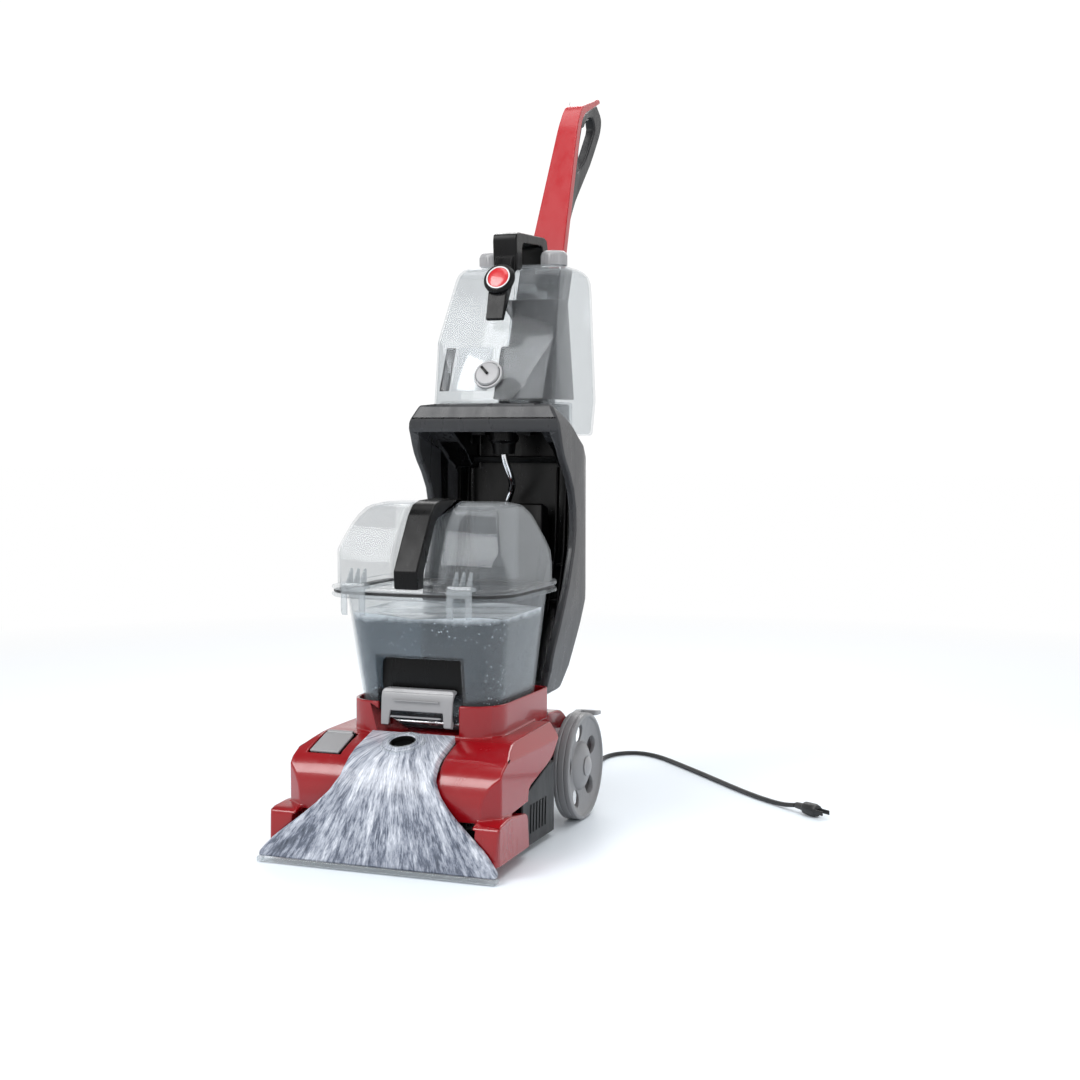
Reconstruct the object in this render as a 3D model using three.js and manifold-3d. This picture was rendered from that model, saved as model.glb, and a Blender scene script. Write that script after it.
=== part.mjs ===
// An upright carpet washer: a wheeled base with spinning brushes and a clear suction nozzle,
// a lift-off recovery tank, and a reclining column that carries the clean-water tank and handle.
// Millimetres, +Z up, front of the machine towards -Y, origin on the floor under the middle of
// the machine's own box. Inside the machine group, y is counted from the design datum.
import * as THREE from "three";
import { mergeVertices } from "three/addons/utils/BufferGeometryUtils.js";
import Module from "manifold-3d";

const wasm = await Module();
wasm.setup();

// ---------------------------------------------------------------- driving dimensions
const BOX_FRONT = -251;
const BOX_REAR = 613.4;
const GAP = 0.4; // between pieces that touch
const CLEAR = 1; // between pieces that move past each other
const WALL = 3;
const CORNER_STEPS = 2; // facets in each rounded corner

const AXLE = { y: 125, z: 76, r: 5 };
const WHEEL = { r: 76, width: 25, outer: 153, bore: 5.4 };
const BODY_HALF = 150; // shoulders of the base
const REAR_HALF = 105; // base between the wheels
const BUMPER_HALF = 161;
const DECK_Z = 152; // top of the base
const PIVOT = { y: 125, z: 122 }; // column recline axis
const BRUSH = { y: -165, pitch: 48, count: 5, teeth: 12, gearR: 24 };
const MOTOR = { y: 18, r: 46 };
const PEDAL = { y: 162, z: 128, inner: 107 };
const DUCT = 10; // depth of the air path behind the nozzle window
const BUCKET = { half: 122, front: -126, rear: 78, z: 158, rim: 338 };
const DOME = { topHalf: 97, z: 458 };
const STRAP_HALF = 17;
const COLUMN_HALF = 118;
const RIM = 12; // thickness of the column's front frame
const HOOD_Z = 594; // shelf that the clean tank stands on
const SHELF_HALF = 77; // the shelf is level this far out, then its shoulders fall away
const SPINE_HALF = 38;
const CAP = { x: 50, y: 268, r: 20 };
const BADGE = { y: 176, z: 774, r: 24 };
const DIAL = { z: 634, r: 18 };
const CORD = { r: 3.5, x: -6, y: 305 };

const TILT = Math.atan2(92, 200); // lean of the clean tank's front face
const SHOULDER_TILT = Math.atan2(22, 62);
const SPINE_TILT = Math.atan2(84, 221);
const PORT_TILT = Math.atan2(20, 68); // lean of the nozzle port

// ---------------------------------------------------------------- materials
const paint = (color, roughness, metalness = 0, opacity = 1) =>
  new THREE.MeshStandardMaterial({ color, roughness, metalness, opacity, transparent: opacity < 1 });
const RED = paint("#a3121a", 0.22);
const CHARCOAL = paint("#3b3d40", 0.4);
const BLACK = paint("#131314", 0.5);
const SILVER = paint("#9a9b9d", 0.4);
const CLEAR_PLASTIC = paint("#dfe4e6", 0.08, 0, 0.35);
const RUBBER = paint("#1b1b1c", 0.8);
const STEEL = paint("#b9bbbd", 0.3, 1);
const BRISTLE = paint("#4b6fa8", 0.7);

// ---------------------------------------------------------------- shape helpers
// An outline whose points may carry a third number, the radius of that corner,
// which is held to just under half of the shorter side beside it.
function outline(points) {
  const shape = new THREE.Shape();
  points.forEach(([a, b, radius = 0], i) => {
    const here = new THREE.Vector2(a, b);
    const before = new THREE.Vector2(...points.at(i - 1).slice(0, 2));
    const after = new THREE.Vector2(...points[(i + 1) % points.length].slice(0, 2));
    const r = Math.min(radius, 0.48 * here.distanceTo(before), 0.48 * here.distanceTo(after));
    const start = here.clone().add(before.sub(here).setLength(r));
    const end = here.clone().add(after.sub(here).setLength(r));
    if (i === 0) shape.moveTo(start.x, start.y);
    else shape.lineTo(start.x, start.y);
    if (r > 0) shape.quadraticCurveTo(a, b, end.x, end.y);
  });
  shape.closePath();
  return shape;
}

// Points with x = 0 lie on the mirror plane and are not repeated.
function mirrored(points) {
  const others = points.filter(([x]) => x !== 0).toReversed();
  return [...points, ...others.map(([x, ...rest]) => [-x, ...rest])];
}

function extrude(shape, depth, curveSegments = CORNER_STEPS) {
  return new THREE.ExtrudeGeometry(shape, { depth, bevelEnabled: false, curveSegments });
}

const basis = (x, y, z) => new THREE.Matrix4().makeBasis(x, y, z);
const [X, Y, Z] = [new THREE.Vector3(1, 0, 0), new THREE.Vector3(0, 1, 0), new THREE.Vector3(0, 0, 1)];

// A solid for manifold-3d from any closed three.js geometry.
function solid(geometry) {
  const bare = geometry.clone();
  bare.deleteAttribute("normal");
  bare.deleteAttribute("uv");
  const merged = mergeVertices(bare, 1e-4);
  const mesh = new wasm.Mesh({
    numProp: 3,
    vertProperties: merged.attributes.position.array,
    triVerts: new Uint32Array(merged.index.array),
  });
  mesh.merge();
  return new wasm.Manifold(mesh);
}

function geometryOf(made) {
  const { vertProperties, triVerts } = made.getMesh();
  return new THREE.BufferGeometry()
    .setAttribute("position", new THREE.BufferAttribute(vertProperties, 3))
    .setIndex(new THREE.BufferAttribute(triVerts, 1));
}

const join = (first, ...others) => others.reduce((all, one) => all.add(one), first);
const cut = (first, ...others) => others.reduce((all, one) => all.subtract(one), first);
const common = (first, ...others) => others.reduce((all, one) => all.intersect(one), first);

// Side view (y, z) outline, from x0 to x1.
const sideSlab = (points, x0, x1) =>
  solid(extrude(outline(points), x1 - x0).applyMatrix4(basis(Y, Z, X)).translate(x0, 0, 0));
const sidePrism = (points, half) => sideSlab(points, -half, half);
// Front view (x, z) outline, from y0 to y1.
const frontSlab = (points, y0, y1) =>
  solid(
    extrude(outline(points), y1 - y0)
      .applyMatrix4(basis(X, Z, Y.clone().negate()))
      .translate(0, y1, 0),
  );
// Plan view (x, y) outline, from z0 to z1.
const planSlab = (points, z0, z1) => solid(extrude(outline(points), z1 - z0).translate(0, 0, z0));

// A plan outline that shrinks by sx, sy towards its foot, about x = 0 and y = cy.
function taperedSlab(points, z0, z1, [sx, sy], cy) {
  const g = extrude(outline(points), z1 - z0).translate(0, 0, z0);
  const p = g.attributes.position;
  for (let i = 0; i < p.count; i++) {
    const t = (z1 - p.getZ(i)) / (z1 - z0);
    p.setX(i, p.getX(i) * (1 + (sx - 1) * t));
    p.setY(i, cy + (p.getY(i) - cy) * (1 + (sy - 1) * t));
  }
  return solid(g);
}

const block = (x0, x1, y0, y1, z0, z1) =>
  solid(
    new THREE.BoxGeometry(x1 - x0, y1 - y0, z1 - z0).translate((x0 + x1) / 2, (y0 + y1) / 2, (z0 + z1) / 2),
  );

const AXES = {
  x: (g) => g.rotateZ(-Math.PI / 2),
  y: (g) => g,
  z: (g) => g.rotateX(Math.PI / 2),
};
function rod(axis, radius, from, to, [a, b] = [0, 0], sides = 16) {
  const g = AXES[axis](new THREE.CylinderGeometry(radius, radius, to - from, sides));
  const middle = (from + to) / 2;
  if (axis === "x") g.translate(middle, a, b);
  if (axis === "y") g.translate(a, middle, b);
  if (axis === "z") g.translate(a, b, middle);
  return solid(g);
}

// A round solid about +X from (x, radius) points.
const turnedX = (profile, segments) =>
  new THREE.LatheGeometry(
    profile.map(([x, r]) => new THREE.Vector2(r, x)),
    segments,
  ).rotateZ(-Math.PI / 2);
const turnedZ = (profile, segments) =>
  new THREE.LatheGeometry(
    profile.map(([z, r]) => new THREE.Vector2(r, z)),
    segments,
  ).rotateX(Math.PI / 2);

function tube(points, radius, steps, sides = 8) {
  const round = new THREE.Shape();
  round.absarc(0, 0, radius, 0, Math.PI * 2);
  const path = new THREE.CatmullRomCurve3(points.map((p) => new THREE.Vector3(...p)));
  return new THREE.ExtrudeGeometry(round, {
    steps,
    extrudePath: path,
    bevelEnabled: false,
    curveSegments: sides / 2,
  });
}

function helix(radius, wire, turns, length) {
  const points = [];
  const perTurn = 10;
  for (let i = 0; i <= turns * perTurn; i++) {
    const angle = (i / perTurn) * Math.PI * 2;
    points.push([radius * Math.cos(angle), radius * Math.sin(angle), (i / (turns * perTurn)) * length]);
  }
  return tube(points, wire, turns * 8, 4);
}

const machine = new THREE.Group();
machine.position.y = -(BOX_FRONT + BOX_REAR) / 2;

function place(group, name, shape, material) {
  const geometry = shape.isBufferGeometry ? shape : geometryOf(shape);
  const mesh = new THREE.Mesh(geometry, material);
  mesh.name = name;
  group.add(mesh);
  return mesh;
}

// ---------------------------------------------------------------- base
const base = new THREE.Group();
machine.add(base);

const coverSide = [
  [-206, 64], [-206, 96, 14], [-186, 130, 22], [-124, DECK_Z, 20], [60, 156, 20], [150, 152, 14],
    [186, 128, 10], [186, 92],
];
const coverFront = mirrored([[BODY_HALF, 10], [BODY_HALF, 136], [124, 166]]);
const coverPlan = mirrored([[126, -207], [BODY_HALF, -190], [BODY_HALF, 22], [REAR_HALF, 48],
  [REAR_HALF, 187]]);
const inset = (points, d) =>
  points.map(([x, y, ...r]) => [x - Math.sign(x) * d, y > 0 ? y - d : y + d, ...r]);

// Air path outline of the nozzle, front view: a flared skirt below a narrow neck.
const nozzleFront = (grow) =>
  mirrored([
    [165 + grow, -1], [165 + grow, 14], [150 + grow, 32, 14], [92 + grow, 78, 34], [62 + grow, 112, 24],
      [60 + grow, 175],
  ]);
const nozzleSide = (out) => [
  [-250 + out, 3], [-236 + out, 46, 12], [-218 + out, 104, 20], [-196 + out, 138 - out, 20],
    [-128, 158 - out],
];

function baseCover() {
  const shell = common(sidePrism(coverSide, BODY_HALF), frontSlab(coverFront, -260, 240),
    planSlab(coverPlan, 0, 240));
  const sideIn = [
    [-203, 60], [-203, 96, 14], [-184, 127, 22], [-124, DECK_Z - WALL, 20], [60, 153, 20], [149, 149, 14],
      [183, 126, 10], [183, 60],
  ];
  const hollow = common(
    sidePrism(sideIn, BODY_HALF - WALL),
    frontSlab(mirrored([[BODY_HALF - WALL, 0], [BODY_HALF - WALL, 135], [122, 163]]), -240, 240),
    planSlab(inset(coverPlan, WALL), -1, 240),
  );
  // Sides sweep up over the dark lower chassis, and clear the wheels.
  const archOutline = [[-100, -5], [-96, 89, 10], [-8, 112, 16], [24, 140], [34, 170], [260, 170], [260, -5]];
  const arches = join(sideSlab(archOutline, REAR_HALF, 200), sideSlab(archOutline, -200, -REAR_HALF));
  const seatWall = cut(
    planSlab(mirrored([[0, -117], [88, -112, 30], [110, -84, 20], [110, 92, 14], [0, 92]]), 150, 194),
    planSlab(mirrored([[0, -111], [86, -106, 28], [105, -82, 18], [105, 87, 12], [0, 87]]), 155, 300),
  );
  const bumperOutline = [[-232, 16], [-225, 66, 10], [-180, 70, 8], [-112, 60, 8], [-106, 14]];
  const bumpers = [-1, 1].map((s) =>
    common(
      sidePrism(bumperOutline, BUMPER_HALF),
      planSlab(
        [[s * 124, -231], [s * 157, -231], [s * BUMPER_HALF, -222], [s * (BUMPER_HALF - 6), -100],
          [s * 124, -100]],
        0,
        100,
      ),
    ),
  );
  const leverGap = block(-58, 58, -122, -100, 155, 200);
  const tankFloorHole = rod("z", 22, 140, 170, [0, MOTOR.y], 20);
  const columnSlot = block(-62, 62, 101, 190, 100, 170);
  const windowSeat = common(
    frontSlab(nozzleFront(1), -260, -120),
    sidePrism([...nozzleSide(DUCT + 3), [-128, 190], [-300, 190], [-300, 3]], 170),
  );
  const under = block(-128, 128, -240, -196, -5, 60);
  const portHole = block(-24, 24, -51.5, 5, -29,
    30).rotate([THREE.MathUtils.radToDeg(SHOULDER_TILT), 0, 0]).translate([-108, -127, 150]);
  const pedalPins = rod("x", 2.3, -130, 130, [PEDAL.y, PEDAL.z], 10);
  return cut(
    join(cut(shell, hollow, arches), seatWall, ...bumpers),
    leverGap, tankFloorHole, columnSlot, windowSeat, under, portHole, pedalPins,
  );
}
place(base, "base_cover", baseCover(), RED);

// The hose port on the left shoulder lies flush with the slope: x, and y and z from the hinge pin.
const portSpot = new THREE.Group();
portSpot.position.set(-108, -127, 150);
portSpot.rotation.x = SHOULDER_TILT;
base.add(portSpot);
const portWell = cut(block(-23, 23, -48, 1.6, -28, -4.6), block(-20, 20, -45, -1.4, -25, 0),
  rod("z", 14, -40, 0, [0, -24], 20));
place(portSpot, "hose_port_well", join(portWell, rod("x", 2, -22, 22, [0, 0], 8),
  block(-22, -19.6, -2, 2, -5, 1), block(19.6, 22, -2, 2, -5, 1)), BLACK);
const doorBarrel = cut(rod("x", 4, -19, 19, [0, 0], 12), rod("x", 2.3, -30, 30, [0, 0], 8));
place(portSpot, "hose_port_door", join(block(-21, 21, -50, -2.6, -1.6, 1.8), doorBarrel), SILVER);

const chassisSide = [
  [-196, 14], [-186, 8, 6], [30, 8, 14], [62, 36, 10], [180, 40, 10], [182, 90], [60, 106], [-8, 104],
    [-90, 80], [-196, 56],
];
const chassisPlan = mirrored([[145, -196], [145, 14], [101, 44], [101, 182]]);
function chassis() {
  const outer = common(sidePrism(chassisSide, 145), planSlab(chassisPlan, 0, 200));
  const inner = common(
    sidePrism([[-192, 18], [-92, 12], [28, 12], [60, 41], [177, 45], [177, 120], [-192, 120]], 141),
    planSlab(mirrored([[141, -192], [141, 12], [97, 42], [97, 178]]), 0, 200),
  );
  const bosses = join(
    ...[-1, 1].map((s) => rod("x", 11, Math.min(s * 86, s * 124), Math.max(s * 86, s * 124),
      [AXLE.y, AXLE.z], 16)),
    ...[-1, 1].map((s) => block(s * 100 - 8, s * 100 + 8, -132, -104, 0, 14)),
  );
  const motorShelf = cut(
    join(block(-70, 70, -34, 70, 68, 71.6), ...[-68, 68].map((x) => block(x - 2, x + 2, -34, 26, 10, 69))),
    rod("z", 14, 50, 90, [0, MOTOR.y], 16),
  );
  return cut(
    join(cut(outer, inner), bosses, motorShelf),
    rod("x", AXLE.r + GAP, -200, 200, [AXLE.y, AXLE.z], 16),
    block(-126, 126, -200, -135, 0, 72),
    block(122, 150, -200, -105, 0, 72),
    block(-150, -122, -200, -105, 0, 72),
    rod("y", 6.2, 170, 190, [30, 66], 12),
  );
}
place(base, "chassis", chassis(), CHARCOAL);

place(base, "axle", rod("x", AXLE.r, -WHEEL.outer + 4, WHEEL.outer - 4, [AXLE.y, AXLE.z], 16), STEEL);

// ---------------------------------------------------------------- wheels
const wheelProfile = [
  [0, WHEEL.bore], [-WHEEL.width, WHEEL.bore], [-WHEEL.width, 11], [-12, 15], [-13, 62], [-WHEEL.width, 64],
    [-WHEEL.width, WHEEL.r - 2],
  [-WHEEL.width + 3, WHEEL.r], [-2, WHEEL.r], [0, WHEEL.r - 4], [-2, WHEEL.r - 7], [-8, 58], [-8, 34],
    [0, 16], [0, WHEEL.bore],
];
function wheel() {
  const body = solid(turnedX(wheelProfile, 28));
  const vents = [28, 100, 172, 244, 316].map((degrees) => {
    const a = THREE.MathUtils.degToRad(degrees);
    return solid(
      new THREE.CylinderGeometry(12.5, 12.5, 40, 10)
        .scale(1.12, 1, 1)
        .rotateZ(-Math.PI / 2)
        .rotateX(a)
        .translate(-10, 44 * Math.cos(a), 44 * Math.sin(a)),
    );
  });
  return cut(body, ...vents);
}
for (const [name, s] of [["right", 1], ["left", -1]]) {
  const spot = new THREE.Group();
  spot.position.set(s * WHEEL.outer, AXLE.y, AXLE.z);
  if (s < 0) spot.rotation.z = Math.PI;
  machine.add(spot);
  place(spot, `wheel_${name}`, wheel(), SILVER);
  const capProfile = [[0.4, 0], [0.4, 14], [2, 14], [5, 9], [6, 0]];
  place(spot, `wheel_cap_${name}`, turnedX(capProfile, 20), STEEL);
}

// ---------------------------------------------------------------- brush drive
function gearBrush(withPulley) {
  const { teeth, gearR } = BRUSH;
  const shape = new THREE.Shape();
  const at = (r, t) => [r * Math.cos(t), r * Math.sin(t)];
  for (let i = 0; i < teeth; i++) {
    const middle = (i / teeth) * Math.PI * 2;
    const half = Math.PI / teeth;
    const corners = [[gearR - 3.2, -0.62], [gearR + 2.2, -0.26], [gearR + 2.2, 0.26], [gearR - 3.2, 0.62]];
    corners.forEach(([r, w], k) => {
      const [x, y] = at(r, middle + w * half);
      if (i === 0 && k === 0) shape.moveTo(x, y);
      else shape.lineTo(x, y);
    });
  }
  shape.closePath();
  const parts = [
    solid(extrude(shape, 8).translate(0, 0, 31)),
    rod("z", 20, 22, 31.5, [0, 0], 16),
    rod("z", 4, 30, withPulley ? 60 : 50, [0, 0], 12),
  ];
  for (let i = 0; i < 6; i++) {
    const a = (i / 6) * Math.PI * 2;
    parts.push(rod("z", 4, 1.5, 23, [15 * Math.cos(a), 15 * Math.sin(a)], 5));
  }
  if (withPulley) parts.push(solid(turnedZ([[54, 0], [54, 18], [55.5, 18], [56, 16], [61, 16], [61.5, 18],
    [63, 18], [63, 0]], 28)));
  return join(...parts);
}
const brushX = (i) => (i - (BRUSH.count - 1) / 2) * BRUSH.pitch;
for (let i = 0; i < BRUSH.count; i++) {
  const brush = place(base, `brush_${i + 1}`, gearBrush(brushX(i) === 0), BRISTLE);
  brush.position.set(brushX(i), BRUSH.y, 0);
  brush.rotation.z = i % 2 ? Math.PI / BRUSH.teeth : 0;
}
const blockBores = Array.from({ length: BRUSH.count },
  (_, i) => rod("z", 4.3, 0, 90, [brushX(i), BRUSH.y], 12));
place(
  base,
  "brush_block",
  cut(block(-123.6, 123.6, -191.5, -137, 41, 51.5), ...blockBores),
  BLACK,
);

function motorRotor() {
  return join(
    rod("z", 4, 58, 130, [0, 0], 12),
    solid(turnedZ([[54, 0], [54, 10], [55.5, 10], [56, 8], [61, 8], [61.5, 10], [63, 10], [63, 0]], 20)),
    rod("z", 36, 98, 101, [0, 0], 28),
    ...Array.from({ length: 8 }, (_, i) => {
      const a = (i / 8) * Math.PI * 2;
      return solid(new THREE.BoxGeometry(26, 2, 16).translate(20, 0, 108).rotateZ(a));
    }),
  );
}
place(base, "motor_rotor", motorRotor(), STEEL).position.set(0, MOTOR.y, 0);
place(
  base,
  "motor_housing",
  cut(
    rod("z", MOTOR.r, 72, 146, [0, MOTOR.y], 32),
    rod("z", MOTOR.r - 6, 84, 160, [0, MOTOR.y], 32),
    rod("z", 5, 60, 90, [0, MOTOR.y], 12),
  ),
  SILVER,
);

function belt() {
  const [near, far] = [MOTOR.y, BRUSH.y];
  const loop = (rMotor, rBrush) => {
    const lean = Math.asin((rBrush - rMotor) / (near - far));
    const shape = new THREE.Shape();
    shape.absarc(0, near, rMotor, -lean, Math.PI + lean, false);
    shape.absarc(0, far, rBrush, Math.PI + lean, 2 * Math.PI - lean, false);
    shape.closePath();
    return shape;
  };
  const ring = (grow, z0, z1) => solid(extrude(loop(8 + grow, 16 + grow), z1 - z0, 8).translate(0, 0, z0));
  return cut(ring(1.9, 56.6, 60.4), ring(0.4, 50, 70));
}
place(base, "drive_belt", belt(), RUBBER);

// ---------------------------------------------------------------- nozzle window
const nozzle = new THREE.Group();
machine.add(nozzle);
function nozzleWindow() {
  const outer = common(frontSlab(nozzleFront(0), -260, -128.5),
    sidePrism([...nozzleSide(0), [-128, -20], [-250, -20]], 170));
  const inner = common(
    frontSlab(mirrored([[162, -30], [162, 12], [148, 30, 14], [89, 77, 34], [59, 111, 24], [57, 175]]),
      -260, -120),
    sidePrism([...nozzleSide(2.6), [-120, 158 - 2.6], [-120, -30], [-247.4, -30]], 170),
  );
  const behind = sidePrism([...nozzleSide(DUCT), [-120, 148], [-120, -30], [-240, -30]], 170);
  const tilted = (r, low, high) => rod("z", r, low, high, [0, 0],
    28).rotate([PORT_TILT * 180 / Math.PI, 0, 0]).translate([0, -160, 148.6]);
  const collar = cut(join(tilted(29, -6, 2.4), tilted(21.5, -6, 5)), inner);
  return cut(
    join(cut(outer, inner, behind), collar),
    tilted(17, -30, 30),
    block(-200, 200, -300, -100, -40, 8.4),
  );
}
place(nozzle, "nozzle_window", nozzleWindow(), CLEAR_PLASTIC);
place(
  nozzle,
  "nozzle_lip",
  cut(block(-166, 166, -251, -238.5, 1.2, 8), block(-161, 161, -247.5, -230, 0, 20)),
  SILVER,
);

// ---------------------------------------------------------------- tank release lever
function lever() {
  const plate = common(
    frontSlab(mirrored([[38, 184], [40, 165], [51, 165], [52, 213, 5]]), -130, -90),
    sidePrism([[-122, 165], [-118, 204, 8], [-112, 213], [-101, 213], [-101, 209], [-110, 206], [-115, 198],
      [-118, 165]], 60),
  );
  const ears = [-1, 1].map((s) =>
    cut(
      join(rod("x", 4, s * 45.5 - 5, s * 45.5 + 5, [-108, 169], 12),
        block(s * 45.5 - 5, s * 45.5 + 5, -119, -108, 165.4, 172)),
      rod("x", 2.3, -70, 70, [-108, 169], 10),
    ),
  );
  return join(plate, ...ears);
}
place(base, "tank_release_lever", lever(), SILVER);
place(base, "lever_pin", rod("x", 2, -57.5, 57.5, [-108, 169], 10), STEEL);
place(base, "lever_spring", helix(3.4, 0.6, 4, 14).rotateY(Math.PI / 2).translate(12, -108, 169), STEEL);

// ---------------------------------------------------------------- pedals
// Each runs back between the base and a wheel and widens into a pad behind the wheel.
function pedal(s) {
  const { y, z, inner } = PEDAL;
  const side = [
    [y - 9, z + 5, 4], [y + 4, z + 10, 4], [206, z + 14], [236, z + 10, 6], [234, z + 5], [206, z + 6],
    [y + 10, z - 2], [y, z - 8, 6], [y - 10, z - 4, 4],
  ];
  const plan = [[inner, 140], [inner + 10, 140], [inner + 10, 206], [inner + 32, 212, 4],
    [inner + 32, 240, 10], [inner, 240, 6]];
  const pad = common(sidePrism(side, 150), planSlab(plan.map(([x, ...rest]) => [s * x, ...rest]), 0, 200));
  return cut(pad, rod("x", 2.3, -150, 150, [y, z], 10));
}
for (const [name, s] of [["power_pedal", 1], ["handle_release_pedal", -1]]) {
  place(base, name, pedal(s), SILVER);
  const ends = [s * 97, s * 125].toSorted((a, b) => a - b);
  place(base, `${name}_pin`, rod("x", 2, ...ends, [PEDAL.y, PEDAL.z], 10), STEEL);
}

// ---------------------------------------------------------------- recovery tank
const recovery = new THREE.Group();
machine.add(recovery);
const bucketPlan = (d) =>
  mirrored([
    [0, BUCKET.front - 6 + d], [92, BUCKET.front + d, 26], [BUCKET.half - d, -94, 24],
      [BUCKET.half - d, 60, 12],
    [104 - d, BUCKET.rear - d, 8], [0, BUCKET.rear - d],
  ]);
const bucketBody = (d) => taperedSlab(bucketPlan(d), BUCKET.z + d, BUCKET.rim + 20, [0.8, 0.83], 24);
const flangePlan = (d) =>
  mirrored([[0, -148 + d], [96, -142 + d, 26], [135 - d, -108, 22], [135 - d, 52, 12],
    [118 - d, 90 - d, 10], [0, 90 - d]]);
const fingerPocket = (grow) => sideSlab([[-150, 100], [-150, 254 + grow], [-96 + grow, 254 + grow, 10],
  [-88 + grow, 100]], -61 - grow, 61 + grow);
function bucket() {
  const shell = cut(bucketBody(0), fingerPocket(0));
  const inner = cut(bucketBody(2.6), fingerPocket(2.6));
  const flange = cut(planSlab(flangePlan(0), 333, BUCKET.rim), planSlab(bucketPlan(1), 300, 400));
  return cut(join(cut(shell, inner), flange), block(-200, 200, -200, 200, BUCKET.rim, 500),
    rod("z", 20, 150, 170, [0, MOTOR.y], 20));
}
place(recovery, "recovery_bucket", bucket(), CLEAR_PLASTIC);
place(
  recovery,
  "air_standpipe",
  join(
    cut(rod("z", 25, 161, 166, [0, MOTOR.y], 24), rod("z", 14, 100, 200, [0, MOTOR.y], 24)),
    cut(rod("z", 17, 161, 330, [0, MOTOR.y], 24), rod("z", 14, 100, 400, [0, MOTOR.y], 24)),
  ),
  CLEAR_PLASTIC,
);
place(
  recovery,
  "float",
  cut(rod("z", 28, 168, 186, [0, MOTOR.y], 24), rod("z", 17 + CLEAR, 100, 300, [0, MOTOR.y], 24)),
  BLACK,
);
place(
  recovery,
  "lid_gasket",
  cut(planSlab(flangePlan(3), BUCKET.rim + GAP, 342), planSlab(bucketPlan(2.6), 300, 400)),
  RUBBER,
);

const lidSide = (d) => [
  [-128 + d, 330], [-128 + d, 352, 10], [-118 + d, 392, 20], [-78 + d, DOME.z - d, 30],
    [28, DOME.z - d, 26], [70 - d, 384, 24], [80 - d, 330],
];
const lidFront = (d) => mirrored([[126 - d, 330], [126 - d, 372, 20], [114 - d, 412, 24],
  [DOME.topHalf - d, DOME.z - d, 18]]);
const valley = (grow) =>
  sideSlab([[-160, 354 - grow], [-100 + grow, 356 - grow, 8], [-56 + grow, 436, 20], [-18, 445, 6],
    [-18, 500], [-160, 500]], -34 - grow, 34 + grow);
const lidPlan = (d) =>
  mirrored([[0, -134 + d], [108 - d, -128 + d, 20], [126 - d, -102, 18], [126 - d, 62, 12],
    [106 - d, 80 - d, 8], [0, 80 - d]]);
function lid() {
  const dome = (d) =>
    common(sidePrism(lidSide(d), 140), frontSlab(lidFront(d), -160, 140), planSlab(lidPlan(d), 0, 600));
  const flange = planSlab(flangePlan(0), 342.4, 348);
  return cut(
    join(cut(dome(0), valley(0)), flange),
    cut(dome(2.4), valley(2.4)),
    block(-200, 200, -200, 200, 300, 342.4),
  );
}
place(recovery, "recovery_lid", lid(), CLEAR_PLASTIC);

const strapOuter = [[-150, 348.5], [-152, 372], [-124, 418, 20], [-96, 461, 22], [-26, 463, 10], [-4, 461]];
const strapInner = [[-4, 458.4], [-20.5, 458.4], [-26, 449, 4], [-44, 444, 10], [-88, 440, 16],
  [-106, 410, 20], [-130, 368, 6], [-130, 348.5]];
place(recovery, "lid_handle", sidePrism([...strapOuter, ...strapInner], STRAP_HALF), BLACK);

for (const [name, s] of [["left", -1], ["right", 1]]) {
  const x = s * 76;
  const hook = cut(
    sideSlab([[-153, 349], [-153, 316, 4], [-148.6, 312], [-148.6, 348.4], [-134, 348.4], [-134, 353],
      [-150, 355]], x - 17, x + 17),
    block(x - 9, x + 9, -160, -120, 300, 340),
  );
  const ribs = [-10, 0, 10].map((dx) => sideSlab([[-152, 352], [-134, 352], [-132, 372], [-136, 374, 4]],
    x + dx - 1.2, x + dx + 1.2));
  place(recovery, `lid_clip_${name}`, join(hook, ...ribs), CLEAR_PLASTIC);
}

// ---------------------------------------------------------------- column
const column = new THREE.Group();
machine.add(column);
const columnSide = [
  [108, 556, 3], [106, 570], [114, HOOD_Z, 6], [264, HOOD_Z, 4], [265, 507, 30], [257, 372, 40],
    [221, 265, 30], [178, 176, 8],
  [116, 172, 8], [114, 228, 20], [146, 315, 30], [180, 410, 40], [170, 471, 30], [124, 519, 16], [112, 548],
];
const bayOutline = [
  [90, 180], [172, 182, 8], [214, 268, 30], [250, 372, 40], [258, 505, 30], [257, 586], [120, 586],
    [112, 552, 4], [90, 552],
];
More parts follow.
